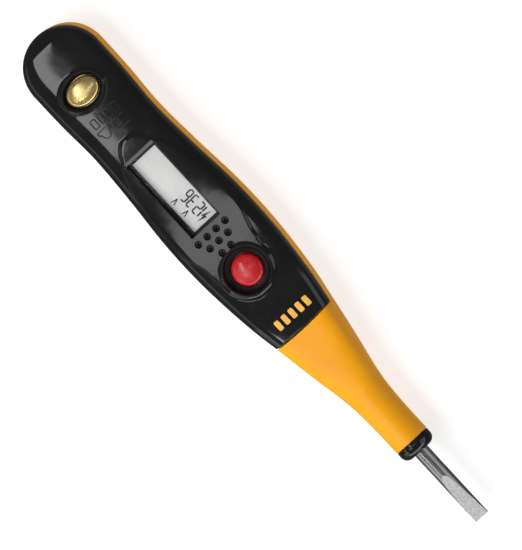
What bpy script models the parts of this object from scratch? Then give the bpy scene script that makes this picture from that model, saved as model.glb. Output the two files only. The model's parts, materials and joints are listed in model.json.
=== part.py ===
"""Voltage tester pen: a two-part shell with a display, two test buttons and a screwdriver blade.

The tool lies on its flat back at Z = 0, with +X along the blade towards the tip and +Z out of the display.
Stations along the tool are measured from the head end; along() turns one into X.
"""

import math

import bmesh
import bpy

MM = 0.001

# Whole tool
LENGTH = 140.0 * MM
AXIS_Z = 7.0 * MM  # the blade's axis, and the plane where cover and housing meet
WALL = 1.4 * MM
HEAD_RADIUS = 9.3 * MM
NOSE_END = 117.8 * MM
COVER_END = 84.4 * MM
SEAM = 0.2 * MM
GAP = 0.15 * MM

# Body outline: (station from the head end, size), joined by a smooth curve
HALF_WIDTHS = [
    (9.3 * MM, 9.3 * MM),
    (18.0 * MM, 9.2 * MM),
    (28.0 * MM, 8.75 * MM),
    (40.0 * MM, 9.35 * MM),
    (50.0 * MM, 10.15 * MM),
    (58.0 * MM, 10.35 * MM),
    (66.0 * MM, 10.05 * MM),
    (76.0 * MM, 9.05 * MM),
    (85.0 * MM, 7.65 * MM),
    (95.0 * MM, 6.05 * MM),
    (103.0 * MM, 4.75 * MM),
    (110.0 * MM, 4.3 * MM),
    (118.0 * MM, 4.25 * MM),
]
TOP_HEIGHTS = [
    (9.3 * MM, 4.5 * MM),
    (28.0 * MM, 4.65 * MM),
    (38.0 * MM, 4.8 * MM),
    (72.0 * MM, 4.8 * MM),
    (90.0 * MM, 4.65 * MM),
    (103.0 * MM, 4.45 * MM),
    (110.0 * MM, 4.3 * MM),
    (118.0 * MM, 4.25 * MM),
]
BACK_DEPTHS = [
    (72.0 * MM, 7.25 * MM),
    (85.0 * MM, 6.8 * MM),
    (95.0 * MM, 5.8 * MM),
    (103.0 * MM, 4.85 * MM),
    (110.0 * MM, 4.3 * MM),
    (118.0 * MM, 4.25 * MM),
]
# Corner sharpness of the section: 2 is an ellipse, more is squarer
TOP_SHARPNESS = [(78.0 * MM, 4.4), (108.0 * MM, 2.0)]
BACK_SHARPNESS = [(76.0 * MM, 5.2), (108.0 * MM, 2.0)]
HEAD_TOP_SHARPNESS = 3.4
HEAD_BACK_SHARPNESS = 5.0
HEAD_STEPS = 6
STATION_STEP = 5.2 * MM
SECTION_POINTS = 28

# Raised boat-shaped panel on the cover
PANEL_RAISE = 0.35 * MM
PANEL_BOW = 28.5 * MM
PANEL_STERN_RADIUS = 6.0 * MM
PANEL_SIDES = [
    (31.2 * MM, 3.7 * MM),
    (34.5 * MM, 5.8 * MM),
    (41.7 * MM, 7.8 * MM),
    (48.8 * MM, 8.7 * MM),
    (55.9 * MM, 8.5 * MM),
    (63.0 * MM, 6.9 * MM),
]

# Brass test contact
CONTACT_S = 15.4 * MM
CONTACT_HALF_X = 2.9 * MM
CONTACT_HALF_Y = 4.05 * MM
CONTACT_TOP = 5.15 * MM
CONTACT_FLANGE = 0.7 * MM
CONTACT_BASE = 2.4 * MM  # heights from here on are measured from AXIS_Z
CONTACT_FLANGE_TOP = 2.95 * MM
CONTACT_SHOULDER = 4.15 * MM
WELL_HALF_X = 4.25 * MM
WELL_HALF_Y = 5.05 * MM
WELL_RIM_TOP = 5.35 * MM

# Red button
BUTTON_S = 67.2 * MM
BUTTON_RADIUS = 3.55 * MM
BUTTON_TOP = 5.35 * MM
BUTTON_FLANGE = 0.75 * MM
BUTTON_BASE = 2.1 * MM
BUTTON_FLANGE_TOP = 2.7 * MM
SWITCH_HALF = 3.0 * MM
SWITCH_TOP = 1.4 * MM
PLUNGER_RADIUS = 1.2 * MM
BEZEL_RADIUS = 5.9 * MM
BEZEL_TOP = 5.35 * MM
DISH_RADIUS = 5.05 * MM
DISH_FLOOR = 3.9 * MM

# Display
DISPLAY_S = 43.8 * MM
APERTURE_LENGTH = 21.0 * MM
APERTURE_WIDTH = 8.0 * MM
GLASS_LENGTH = 21.6 * MM
GLASS_WIDTH = 9.2 * MM
VISIBLE_LENGTH = 19.3 * MM
VISIBLE_WIDTH = 6.5 * MM
POCKET_TOP = 3.9 * MM
PANE_LEVELS = (3.3 * MM, 3.75 * MM)
GASKET_LEVELS = (3.05 * MM, 3.2 * MM)
LCD_LEVELS = (1.75 * MM, 2.95 * MM)
STRIP_LENGTH = 19.6 * MM
STRIP_INNER = 3.3 * MM
STRIP_OUTER = 4.5 * MM
STRIP_TOP = 1.6 * MM

# Sound holes: rows of 4, 3 and 2
HOLE_ROWS = [(56.2 * MM, 4), (58.5 * MM, 3), (60.9 * MM, 2)]
HOLE_PITCH = 2.66 * MM
HOLE_RADIUS = 0.78 * MM
HOLE_DEPTH = 0.8 * MM
HOLE_BORE = 0.4 * MM

# Blade, collar and nose
BLADE_RADIUS = 1.75 * MM
BLADE_TAIL = 100.7 * MM
FLANGE_RADIUS = 2.7 * MM
FLANGE_LENGTH = 1.4 * MM
FLAT_START = 127.8 * MM
FLAT_START_HEIGHT = 1.6 * MM
TIP_HALF_THICKNESS = 0.38 * MM
SLEEVE_RADIUS = 2.3 * MM
SLEEVE_BORE = 1.95 * MM
COLLAR_RADIUS = 4.2 * MM
COLLAR_FRONT = 120.8 * MM
COLLAR_SPIGOT = 3.1 * MM
CHAMBER_RADIUS = 3.0 * MM
CHAMBER_END = 102.4 * MM
BLADE_BORE = 2.5 * MM
SPIGOT_BORE_START = 114.0 * MM

# Circuit board
BOARD_THICKNESS = 1.0 * MM
BOARD_START = 7.6 * MM
BOARD_END = 81.8 * MM
BOARD_HALF_WIDTH = 7.0 * MM
BOARD_TAIL_HALF_WIDTH = 6.0 * MM
BOARD_CORNER = 2.0 * MM

# Screws
COVER_SCREW_S = 77.5 * MM
COVER_SCREW_SHANK = 0.95 * MM
COVER_SCREW_HEAD = 1.8 * MM
BOARD_SCREW_S = 57.5 * MM
BOARD_SCREW_Y = 6.2 * MM
BOARD_SCREW_SHANK = 0.5 * MM
BOARD_SCREW_HEAD = 1.1 * MM

# Batteries and door
CELL_RADIUS = 3.95 * MM
CELL_HEIGHT = 3.6 * MM
CELL_BASE = 1.75 * MM
CELL_STATIONS = {"front": 14.5 * MM, "rear": 22.9 * MM}
DOOR_END = 30.6 * MM
DOOR_HALF_WIDTH = 4.85 * MM
DOOR_TOP = 2.1 * MM
DOOR_PLATE = 1.2 * MM
DOOR_TONGUE = 5.85 * MM
TONGUE_LOW = 1.15 * MM
TONGUE_HIGH = 1.75 * MM
GUIDE_HALF_WIDTH = 6.4 * MM
GUIDE_INNER = 4.3 * MM

BIG = 30.0 * MM
ROUND_SIDES = 28
SMALL_SIDES = 12


# ---------------------------------------------------------------- helpers


def clear_scene():
    for obj in list(bpy.data.objects):
        bpy.data.objects.remove(obj)


def along(station):
    """X of a station measured from the head end."""
    return station - LENGTH / 2


def above(height):
    """Z of a height measured from the blade's axis."""
    return AXIS_Z + height


def finish_material(name, colour, roughness, metallic=0.0, alpha=1.0):
    material = bpy.data.materials.new(name)
    material.use_nodes = True
    shader = material.node_tree.nodes["Principled BSDF"]
    shader.inputs["Base Color"].default_value = (*colour, 1.0)
    shader.inputs["Roughness"].default_value = roughness
    shader.inputs["Metallic"].default_value = metallic
    shader.inputs["Alpha"].default_value = alpha
    return material


def mesh_object(name, bm, material=None, smooth=False):
    """Closes the bmesh into an object with its faces pointing out."""
    bmesh.ops.recalc_face_normals(bm, faces=bm.faces)
    mesh = bpy.data.meshes.new(name)
    bm.to_mesh(mesh)
    bm.free()
    if smooth:
        mesh.shade_smooth()
        mesh.set_sharp_from_angle(angle=math.radians(35))
    if material:
        mesh.materials.append(material)
    obj = bpy.data.objects.new(name, mesh)
    bpy.context.scene.collection.objects.link(obj)
    return obj


def smooth_value(points, station):
    """Smooth curve through (station, value) points, level beyond both ends."""
    if station <= points[0][0]:
        return points[0][1]
    if station >= points[-1][0]:
        return points[-1][1]
    i = max(k for k in range(len(points) - 1) if points[k][0] <= station)

    def slope(k):
        low, high = max(k - 1, 0), min(k + 1, len(points) - 1)
        if low == k or high == k:
            return 0.0
        return (points[high][1] - points[low][1]) / (points[high][0] - points[low][0])

    (s0, v0), (s1, v1) = points[i], points[i + 1]
    span = s1 - s0
    t = (station - s0) / span
    start = (1 + 2 * t) * (1 - t) ** 2 * v0 + t * (1 - t) ** 2 * span * slope(i)
    end = t**2 * (3 - 2 * t) * v1 - t**2 * (1 - t) * span * slope(i + 1)
    return start + end


def bridge_rings(bm, rings, closed_loop=False):
    """Joins rings of vertices with quads; a ring of one vertex is a pole."""
    pairs = list(zip(rings, rings[1:]))
    if closed_loop:
        pairs.append((rings[-1], rings[0]))
    for low, high in pairs:
        count = max(len(low), len(high))
        for k in range(count):
            nxt = (k + 1) % count
            corners = [
                low[k % len(low)],
                low[nxt % len(low)],
                high[nxt % len(high)],
                high[k % len(high)],
            ]
            unique = []
            for vert in corners:
                if vert not in unique:
                    unique.append(vert)
            bm.faces.new(unique)


def oval(name, profile, material=None, sides=ROUND_SIDES, closed_loop=False):
    """Solid through (half_x, half_y, height) ovals; closed_loop makes a ring-shaped solid."""
    bm = bmesh.new()
    rings = []
    for half_x, half_y, height in profile:
        if half_x == 0.0:
            rings.append([bm.verts.new((0, 0, height))])
            continue
        ring = []
        for k in range(sides):
            angle = math.tau * (k + 0.5) / sides
            point = (half_x * math.cos(angle), half_y * math.sin(angle), height)
            ring.append(bm.verts.new(point))
        rings.append(ring)
    bridge_rings(bm, rings, closed_loop)
    if not closed_loop:
        for ring in (rings[0], rings[-1]):
            if len(ring) > 1:
                bm.faces.new(ring)
    return mesh_object(name, bm, material, smooth=True)


def turned(name, profile, material=None, sides=ROUND_SIDES, closed_loop=False):
    """Turns (radius, height) points around Z."""
    ovals = [(radius, radius, height) for radius, height in profile]
    return oval(name, ovals, material, sides, closed_loop)


def prism(name, outline, low, high, material=None):
    """Upright solid over an (x, y) outline."""
    bm = bmesh.new()
    rings = [[bm.verts.new((x, y, z)) for x, y in outline] for z in (low, high)]
    bridge_rings(bm, rings)
    bm.faces.new(rings[0])
    bm.faces.new(rings[1])
    return mesh_object(name, bm, material)


def block(name, low, high, material=None):
    """Box between two corners."""
    (x0, y0, z0), (x1, y1, z1) = low, high
    return prism(name, [(x0, y0), (x1, y0), (x1, y1), (x0, y1)], z0, z1, material)


def dome(half_x, half_y, shoulder, top, steps):
    """Ovals of a dome, from the shoulder's edge in to the pole."""
    ovals = []
    for k in range(steps):
        angle = math.pi / 2 * k / steps
        share = math.cos(angle)
        height = shoulder + (top - shoulder) * math.sin(angle)
        ovals.append((half_x * share, half_y * share, height))
    return ovals + [(0.0, 0.0, top)]


def place(obj, x=0.0, y=0.0, z=0.0, lengthwise=False):
    """Puts a piece in place; lengthwise lays its own Z along the tool."""
    obj.location = (x, y, z)
    if lengthwise:
        obj.rotation_euler = (0, math.pi / 2, 0)
    return obj


def apply_tool(target, operation, tool):
    """Adds or cuts a shape with an exact Boolean and hides the tool."""
    modifier = target.modifiers.new(tool.name, "BOOLEAN")
    modifier.operation = operation
    modifier.solver = "EXACT"
    modifier.object = tool
    tool.hide_render = True
    tool.display_type = "WIRE"
    return target


def add(target, *tools):
    for tool in tools:
        apply_tool(target, "UNION", tool)


def cut(target, *tools):
    for tool in tools:
        apply_tool(target, "DIFFERENCE", tool)


def keep_inside(target, tool):
    apply_tool(target, "INTERSECT", tool)


def coil(name, radius, wire, height, turns, material, sides=5, steps=10):
    """Coil spring standing on Z = 0, wound from wire of the given radius."""
    bm = bmesh.new()
    rings = []
    count = int(turns * steps)
    for k in range(count + 1):
        angle = math.tau * k / steps
        centre = wire + (height - 2 * wire) * k / count
        ring = []
        for j in range(sides):
            around = math.tau * j / sides
            reach = radius - wire + wire * math.cos(around)
            point = (
                reach * math.cos(angle),
                reach * math.sin(angle),
                centre + wire * math.sin(around),
            )
            ring.append(bm.verts.new(point))
        rings.append(ring)
    bridge_rings(bm, rings)
    bm.faces.new(rings[0])
    bm.faces.new(rings[-1])
    return mesh_object(name, bm, material, smooth=True)


# ---------------------------------------------------------------- body shape


def head_rounding(station, inset, sharpness):
    """Share of the full section left at a station in the rounded head end."""
    depth = (HEAD_RADIUS - station) / (HEAD_RADIUS - inset)
    if depth <= 0:
        return 1.0
    return max(0.0, 1 - depth**sharpness) ** (1 / sharpness)


def section_ring(station, inset):
    """(y, z) points around the body's section, moved in by inset."""
    width = smooth_value(HALF_WIDTHS, station) - inset
    top = smooth_value(TOP_HEIGHTS, station) - inset
    back = smooth_value(BACK_DEPTHS, station) - inset
    width *= head_rounding(station, inset, 2.0)
    top *= head_rounding(station, inset, HEAD_TOP_SHARPNESS)
    back *= head_rounding(station, inset, HEAD_BACK_SHARPNESS)
    top_power = 2 / smooth_value(TOP_SHARPNESS, station)
    back_power = 2 / smooth_value(BACK_SHARPNESS, station)
    ring = []
    for k in range(SECTION_POINTS):
        angle = math.tau * k / SECTION_POINTS
        c, s = math.cos(angle), math.sin(angle)
        power = top_power if s >= 0 else back_power
        height = (top if s >= 0 else back) * math.copysign(abs(s) ** power, s)
        y = width * math.copysign(abs(c) ** power, c)
        ring.append((y, max(above(height), inset)))
    return ring


def body_loft(name, inset, end, material=None):
    """Closed loft of the whole body, from the head end to a flat end at a station."""
    bm = bmesh.new()
    rings = [[bm.verts.new((along(inset), 0, AXIS_Z))]]
    stations = []
    for k in range(1, HEAD_STEPS):
        angle = math.pi / 2 * k / HEAD_STEPS
        stations.append(HEAD_RADIUS - (HEAD_RADIUS - inset) * math.cos(angle))
    count = math.ceil((end - HEAD_RADIUS) / STATION_STEP)
    stations += [HEAD_RADIUS + (end - HEAD_RADIUS) * k / count for k in range(count + 1)]
    for station in stations:
        points = section_ring(station, inset)
        rings.append([bm.verts.new((along(station), y, z)) for y, z in points])
    bridge_rings(bm, rings)
    bm.faces.new(rings[-1])
    return mesh_object(name, bm, material, smooth=True)


def cover_zone(name, growth, low):
    """Upright solid over the cover's plan, whose front edge is a shallow arc."""
    half = 12.0 * MM
    bulge = 0.4 * MM
    outline = [(along(-BIG), -half), (along(-BIG), half)]
    for k in range(9):
        y = half - 2 * half * k / 8
        outline.append((along(COVER_END + growth) - bulge * (y / half) ** 2 * 2, y))
    return prism(name, outline, low, above(BIG))


def panel_outline():
    """Plan of the raised panel: a round bow, swelling sides and a round stern about the button."""
    side = []
    first, last = PANEL_SIDES[0][0], PANEL_SIDES[-1][0]
    for k in range(1, 4):
        share = k / 4
        x = PANEL_BOW + (first - PANEL_BOW) * share**2
        side.append((along(x), PANEL_SIDES[0][1] * share))
    for k in range(10):
        station = first + (last - first) * k / 9
        side.append((along(station), smooth_value(PANEL_SIDES, station)))
    for k in range(6):
        angle = math.radians(80 - 16 * k)
        x = along(BUTTON_S) + PANEL_STERN_RADIUS * math.cos(angle)
        side.append((x, PANEL_STERN_RADIUS * math.sin(angle)))
    return [(along(PANEL_BOW), 0.0)] + side + [(x, -y) for x, y in reversed(side)]


# ---------------------------------------------------------------- shells


def cover_cutters():
    """Everything that opens the cover: contact well, window, button dish, sound holes and bores."""
    mouth = (CONTACT_HALF_X + GAP, CONTACT_HALF_Y + GAP)
    slope = 0.5 * MM
    well = oval(
        "cut_contact_well",
        [
            (*mouth, above(1.0 * MM)),
            (*mouth, above(3.8 * MM)),
            (WELL_HALF_X - slope, WELL_HALF_Y - slope, above(4.2 * MM)),
            (WELL_HALF_X, WELL_HALF_Y, above(WELL_RIM_TOP)),
            (WELL_HALF_X, WELL_HALF_Y, above(BIG)),
        ],
    )
    place(well, along(CONTACT_S))
    room = CONTACT_FLANGE + 0.25 * MM
    pocket = (CONTACT_HALF_X + room, CONTACT_HALF_Y + room)
    contact_pocket = oval(
        "cut_contact_pocket",
        [(*pocket, above(1.0 * MM)), (*pocket, above(3.1 * MM))],
    )
    place(contact_pocket, along(CONTACT_S))
    button = turned(
        "cut_button_dish",
        [
            (BUTTON_RADIUS + 0.2 * MM, above(1.0 * MM)),
            (BUTTON_RADIUS + 0.2 * MM, above(DISH_FLOOR)),
            (DISH_RADIUS - 0.6 * MM, above(DISH_FLOOR + 0.25 * MM)),
            (DISH_RADIUS - 0.15 * MM, above(DISH_FLOOR + 0.8 * MM)),
            (DISH_RADIUS, above(BEZEL_TOP)),
            (DISH_RADIUS, above(BIG)),
        ],
    )
    place(button, along(BUTTON_S))
    return [well, contact_pocket, button] + window_cutters() + sound_hole_cutters()


def centred_block(name, length, width, low, high, material=None):
    """Box centred on the display."""
    x = along(DISPLAY_S)
    return block(
        name,
        (x - length / 2, -width / 2, above(low)),
        (x + length / 2, width / 2, above(high)),
        material,
    )


def window_cutters():
    room = 0.4 * MM
    return [
        centred_block("cut_window", APERTURE_LENGTH, APERTURE_WIDTH, 3.0 * MM, BIG),
        centred_block(
            "cut_glass_pocket", GLASS_LENGTH + room, GLASS_WIDTH + room, 0.5 * MM, POCKET_TOP
        ),
    ]


def sound_hole_cutters():
    """A dimple with a fine bore through its floor, for each hole of the triangle."""
    tools = []
    for station, count in HOLE_ROWS:
        for k in range(count):
            y = (k - (count - 1) / 2) * HOLE_PITCH
            width = smooth_value(HALF_WIDTHS, station)
            top = smooth_value(TOP_HEIGHTS, station) + PANEL_RAISE
            power = smooth_value(TOP_SHARPNESS, station)
            surface = top * (1 - abs(y / width) ** power) ** (1 / power)
            floor = above(surface - HOLE_DEPTH)
            tool = turned(
                f"cut_sound_hole_{len(tools) + 1}",
                [
                    (HOLE_BORE, above(1.0 * MM)),
                    (HOLE_BORE, floor),
                    (HOLE_RADIUS, floor + 0.3 * MM),
                    (HOLE_RADIUS, above(BIG)),
                ],
                sides=8,
            )
            tools.append(place(tool, along(station), y))
    return tools


def front_cover():
    material = finish_material("black_gloss", (0.012, 0.012, 0.013), 0.16)
    cover = body_loft("front_cover", 0.0, COVER_END + 4 * MM, material)
    keep_inside(cover, cover_zone("zone_cover", -SEAM / 2, above(SEAM / 2)))
    panel = body_loft("panel_skin", -PANEL_RAISE, COVER_END)
    keep_inside(panel, prism("panel_plan", panel_outline(), above(2.0 * MM), above(BIG)))
    rim_profile = [
        (1.5 * MM, above(3.0 * MM)),
        (1.5 * MM, above(4.0 * MM)),
        (0.9 * MM, above(4.7 * MM)),
        (0.3 * MM, above(WELL_RIM_TOP)),
    ]
    rim = oval("contact_rim", [(WELL_HALF_X + w, WELL_HALF_Y + w, z) for w, z in rim_profile])
    place(rim, along(CONTACT_S))
    bezel = turned(
        "button_bezel",
        [
            (BEZEL_RADIUS, above(3.0 * MM)),
            (BEZEL_RADIUS, above(4.6 * MM)),
            (BEZEL_RADIUS - 0.15 * MM, above(5.1 * MM)),
            (BEZEL_RADIUS - 0.45 * MM, above(BEZEL_TOP)),
            (0.0, above(BEZEL_TOP)),
        ],
    )
    place(bezel, along(BUTTON_S))
    add(cover, panel, rim, bezel)
    cut(cover, body_loft("cavity_cover", WALL, COVER_END - WALL))
    add(cover, *cover_posts())
    cut(cover, *cover_cutters())
    cut(cover, *cover_bores())
    return cover


def cover_posts():
    """Inner collar around the button and the posts that take the screws."""
    collar = turned(
        "button_collar",
        [(5.3 * MM, above(2.85 * MM)), (5.3 * MM, above(4.3 * MM))],
    )
    place(collar, along(BUTTON_S))
    screw_post = turned(
        "cover_screw_post",
        [(2.3 * MM, above(SEAM / 2)), (2.3 * MM, above(3.9 * MM))],
        sides=SMALL_SIDES,
    )
    place(screw_post, along(COVER_SCREW_S))
    posts = [collar, screw_post]
    for side in (-1, 1):
        post = turned(
            f"board_screw_post_{side}",
            [(1.35 * MM, above(GAP)), (1.35 * MM, above(3.3 * MM))],
            sides=SMALL_SIDES,
        )
        posts.append(place(post, along(BOARD_SCREW_S), side * BOARD_SCREW_Y))
    return posts


def cover_bores():
    """Blind pilot bores for the screws, and the cover's half of the spring chamber."""
    pilot = turned(
        "cut_cover_screw_pilot",
        [
            (COVER_SCREW_SHANK + GAP, above(-1.0 * MM)),
            (COVER_SCREW_SHANK + GAP, above(2.9 * MM)),
        ],
        sides=SMALL_SIDES,
    )
    place(pilot, along(COVER_SCREW_S))
    tools = [pilot]
    for side in (-1, 1):
        bore = turned(
            f"cut_board_screw_pilot_{side}",
            [
                (BOARD_SCREW_SHANK + GAP, above(-1.0 * MM)),
                (BOARD_SCREW_SHANK + GAP, above(2.2 * MM)),
            ],
            sides=SMALL_SIDES,
        )
        tools.append(place(bore, along(BOARD_SCREW_S), side * BOARD_SCREW_Y))
    tools.append(
        lengthwise_tube("cut_cover_chamber", CHAMBER_RADIUS, COVER_END - 3 * MM, COVER_END + 3 * MM)
    )
    return tools


def lengthwise_tube(name, radius, start, end, sides=ROUND_SIDES):
    """Round bar on the blade's axis between two stations."""
    bar = turned(name, [(radius, 0), (radius, end - start)], sides=sides)
    return place(bar, along(start), 0, AXIS_Z, lengthwise=True)


def rear_housing():
    material = finish_material("amber_satin", (1.0, 0.36, 0.0), 0.38)
    housing = body_loft("rear_housing", 0.0, NOSE_END, material)
    cut(housing, cover_zone("zone_housing", SEAM / 2, above(-SEAM / 2)))
    cut(housing, body_loft("cavity_housing", WALL, COVER_END - WALL))
    add(housing, *housing_ribs())
    cut(
        housing,
        lengthwise_tube("cut_chamber", CHAMBER_RADIUS, COVER_END - 3 * MM, CHAMBER_END),
        lengthwise_tube("cut_blade_bore", BLADE_BORE, CHAMBER_END - 1 * MM, NOSE_END + 1 * MM),
        lengthwise_tube(
            "cut_spigot_bore", COLLAR_SPIGOT + GAP, SPIGOT_BORE_START, NOSE_END + 1 * MM
        ),
    )
    cut(housing, *door_cutters())
    cut(housing, *housing_screw_cutters())
    return housing


def housing_ribs():
    """Door guides, cell walls, a cross rib and the screw boss."""
    under_board = above(-BOARD_THICKNESS - GAP)
    low = 0.9 * MM
    ribs = []
    for side in (-1, 1):
        y0, y1 = sorted((side * GUIDE_INNER, side * GUIDE_HALF_WIDTH))
        ribs.append(
            block(
                f"door_guide_{side}",
                (along(5.2 * MM), y0, low),
                (along(30.0 * MM), y1, under_board),
            )
        )
    for name, start in (("cell_wall_front", 8.9 * MM), ("cell_wall_rear", 27.6 * MM)):
        ribs.append(
            block(
                name,
                (along(start), -4.7 * MM, 2.0 * MM),
                (along(start + 1.1 * MM), 4.7 * MM, under_board - 0.2 * MM),
            )
        )
    ribs.append(
        block(
            "cross_rib",
            (along(61.0 * MM), -7.2 * MM, low),
            (along(62.2 * MM), 7.2 * MM, under_board),
        )
    )
    boss = turned(
        "screw_boss",
        [
            (3.0 * MM, low),
            (3.0 * MM, under_board),
            (2.3 * MM, under_board + 0.05 * MM),
            (2.3 * MM, above(-SEAM / 2)),
        ],
        sides=SMALL_SIDES,
    )
    ribs.append(place(boss, along(COVER_SCREW_S)))
    return ribs


def door_cutters():
    """Opening for the door and the grooves that its tongues run in, both open at the head end."""
    opening = block(
        "cut_door_opening",
        (along(-BIG), -DOOR_HALF_WIDTH - GAP, -BIG),
        (along(DOOR_END + GAP), DOOR_HALF_WIDTH + GAP, DOOR_TOP + 0.2 * MM),
    )
    grooves = block(
        "cut_door_grooves",
        (along(-BIG), -DOOR_TONGUE - GAP, TONGUE_LOW - GAP),
        (along(29.0 * MM), DOOR_TONGUE + GAP, TONGUE_HIGH + GAP),
    )
    return [opening, grooves]


def housing_screw_cutters():
    counterbore = turned(
        "cut_screw_head",
        [
            (COVER_SCREW_SHANK + GAP, 8.0 * MM),
            (COVER_SCREW_SHANK + GAP, 1.7 * MM),
            (COVER_SCREW_HEAD + 0.25 * MM, 1.7 * MM),
            (COVER_SCREW_HEAD + 0.25 * MM, -1.0 * MM),
        ],
        sides=SMALL_SIDES,
    )
    return [place(counterbore, along(COVER_SCREW_S))]


def battery_door():
    """Back plate with two low side walls, tongues and thumb grooves; it follows the body's outside."""
    material = finish_material("amber_satin_door", (1.0, 0.36, 0.0), 0.42)
    door = body_loft("battery_door", 0.0, DOOR_END + 10 * MM, material)
    keep_inside(
        door,
        block(
            "zone_door",
            (along(-BIG), -DOOR_HALF_WIDTH, -BIG),
            (along(DOOR_END), DOOR_HALF_WIDTH, DOOR_TOP),
        ),
    )
    cut(
        door,
        block(
            "cut_door_inside",
            (along(2.6 * MM), -4.15 * MM, DOOR_PLATE),
            (along(DOOR_END + 1 * MM), 4.15 * MM, BIG),
        ),
    )
    add(
        door,
        *[
            block(
                f"door_tongue_{side}",
                (along(6.0 * MM), min(side * 4.4 * MM, side * DOOR_TONGUE), TONGUE_LOW),
                (along(28.6 * MM), max(side * 4.4 * MM, side * DOOR_TONGUE), TONGUE_HIGH),
            )
            for side in (-1, 1)
        ],
    )
    for k in range(5):
        start = (6.0 + 1.6 * k) * MM
        groove = block(
            f"cut_thumb_groove_{k + 1}",
            (along(start), -3.2 * MM, -1 * MM),
            (along(start + 0.7 * MM), 3.2 * MM, 0.35 * MM),
        )
        cut(door, groove)
    return door


# ---------------------------------------------------------------- nose and blade


def nose_collar():
    material = finish_material("black_collar", (0.015, 0.015, 0.016), 0.2)
    length = COLLAR_FRONT - SPIGOT_BORE_START
    shoulder = NOSE_END + 0.1 * MM - SPIGOT_BORE_START
    rounding = 1.7 * MM
    profile = [
        (BLADE_BORE, 0.2 * MM),
        (COLLAR_SPIGOT, 0.2 * MM),
        (COLLAR_SPIGOT, shoulder),
        (COLLAR_RADIUS - 0.1 * MM, shoulder),
        (COLLAR_RADIUS, shoulder + 0.15 * MM),
    ]
    for k in range(5):
        angle = math.pi / 2 * k / 4
        reach = COLLAR_RADIUS - rounding + rounding * math.cos(angle)
        profile.append((reach, length - rounding + rounding * math.sin(angle)))
    profile += [(BLADE_BORE, length)]
    collar = turned("nose_collar", profile, material, closed_loop=True)
    return place(collar, along(SPIGOT_BORE_START), 0, AXIS_Z, lengthwise=True)


def blade_sleeve():
    material = finish_material("black_tube", (0.02, 0.02, 0.02), 0.45)
    start = CHAMBER_END + 0.4 * MM
    length = COLLAR_FRONT + 0.3 * MM - start
    profile = [
        (SLEEVE_BORE, 0),
        (SLEEVE_RADIUS, 0),
        (SLEEVE_RADIUS, length),
        (SLEEVE_BORE, length),
    ]
    sleeve = turned("blade_sleeve", profile, material, sides=24, closed_loop=True)
    return place(sleeve, along(start), 0, AXIS_Z, lengthwise=True)


def screwdriver_blade():
    """Round bar with a flange at its tail and two flats that taper to a square tip."""
    material = finish_material("nickel_steel", (0.55, 0.55, 0.56), 0.28, 1.0)
    length = LENGTH - BLADE_TAIL
    profile = [
        (0.0, 0.0),
        (FLANGE_RADIUS - 0.2 * MM, 0.0),
        (FLANGE_RADIUS, 0.2 * MM),
        (FLANGE_RADIUS, FLANGE_LENGTH),
        (BLADE_RADIUS, FLANGE_LENGTH),
        (BLADE_RADIUS, length),
        (0.0, length),
    ]
    blade = turned("screwdriver_blade", profile, material)
    place(blade, along(BLADE_TAIL), 0, AXIS_Z, lengthwise=True)
    for side in (-1, 1):
        bm = bmesh.new()
        rings = []
        for y in (-3 * MM, 3 * MM):
            wedge = [
                (along(FLAT_START), AXIS_Z + side * 4 * MM),
                (along(FLAT_START), AXIS_Z + side * FLAT_START_HEIGHT),
                (along(LENGTH + 0.5 * MM), AXIS_Z + side * TIP_HALF_THICKNESS),
                (along(LENGTH + 0.5 * MM), AXIS_Z + side * 4 * MM),
            ]
            rings.append([bm.verts.new((x, y, z)) for x, z in wedge])
        bridge_rings(bm, rings)
        bm.faces.new(rings[0])
        bm.faces.new(rings[1])
        cut(blade, mesh_object(f"cut_flat_{side}", bm))
    return blade


def tip_circuit():
    """Series resistor, spring and board clip, in line behind the blade."""
    metal = finish_material("spring_steel", (0.6, 0.6, 0.62), 0.3, 1.0)
    resistor = turned(
        "series_resistor",
        [
            (0.0, 0.0),
            (1.5 * MM, 0.0),
            (1.75 * MM, 0.25 * MM),
            (1.75 * MM, 1.3 * MM),
            (1.5 * MM, 1.6 * MM),
            (1.5 * MM, 6.4 * MM),
            (1.75 * MM, 6.7 * MM),
            (1.75 * MM, 7.75 * MM),
            (1.5 * MM, 8.0 * MM),
            (0.0, 8.0 * MM),
        ],
        finish_material("resistor_body", (0.55, 0.3, 0.16), 0.4),
        sides=20,
    )
    place(resistor, along(BLADE_TAIL - 8.2 * MM), 0, AXIS_Z, lengthwise=True)
    spring_start = BOARD_END + 0.9 * MM
    spring_length = BLADE_TAIL - 8.4 * MM - spring_start
    spring = coil("tip_spring", 2.2 * MM, 0.22 * MM, spring_length, 6, metal)
    place(spring, along(spring_start), 0, AXIS_Z, lengthwise=True)
    brass = finish_material("terminal_brass", (0.75, 0.58, 0.28), 0.3, 1.0)
    plate = 0.25 * MM
    tab = BOARD_END + 0.35 * MM
    outline = [
        (along(BOARD_END - 1.6 * MM), above(GAP)),
        (along(tab), above(GAP)),
        (along(tab), above(-2.1 * MM)),
        (along(tab + plate), above(-2.1 * MM)),
        (along(tab + plate), above(2.1 * MM)),
        (along(tab), above(2.1 * MM)),
        (along(tab), above(GAP + plate)),
        (along(BOARD_END - 1.6 * MM), above(GAP + plate)),
    ]
    bm = bmesh.new()
    rings = [[bm.verts.new((x, y, z)) for x, z in outline] for y in (-1.6 * MM, 1.6 * MM)]
    bridge_rings(bm, rings)
    bm.faces.new(rings[0])
    bm.faces.new(rings[1])
    mesh_object("tip_terminal", bm, brass)


# ---------------------------------------------------------------- buttons and display


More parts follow.
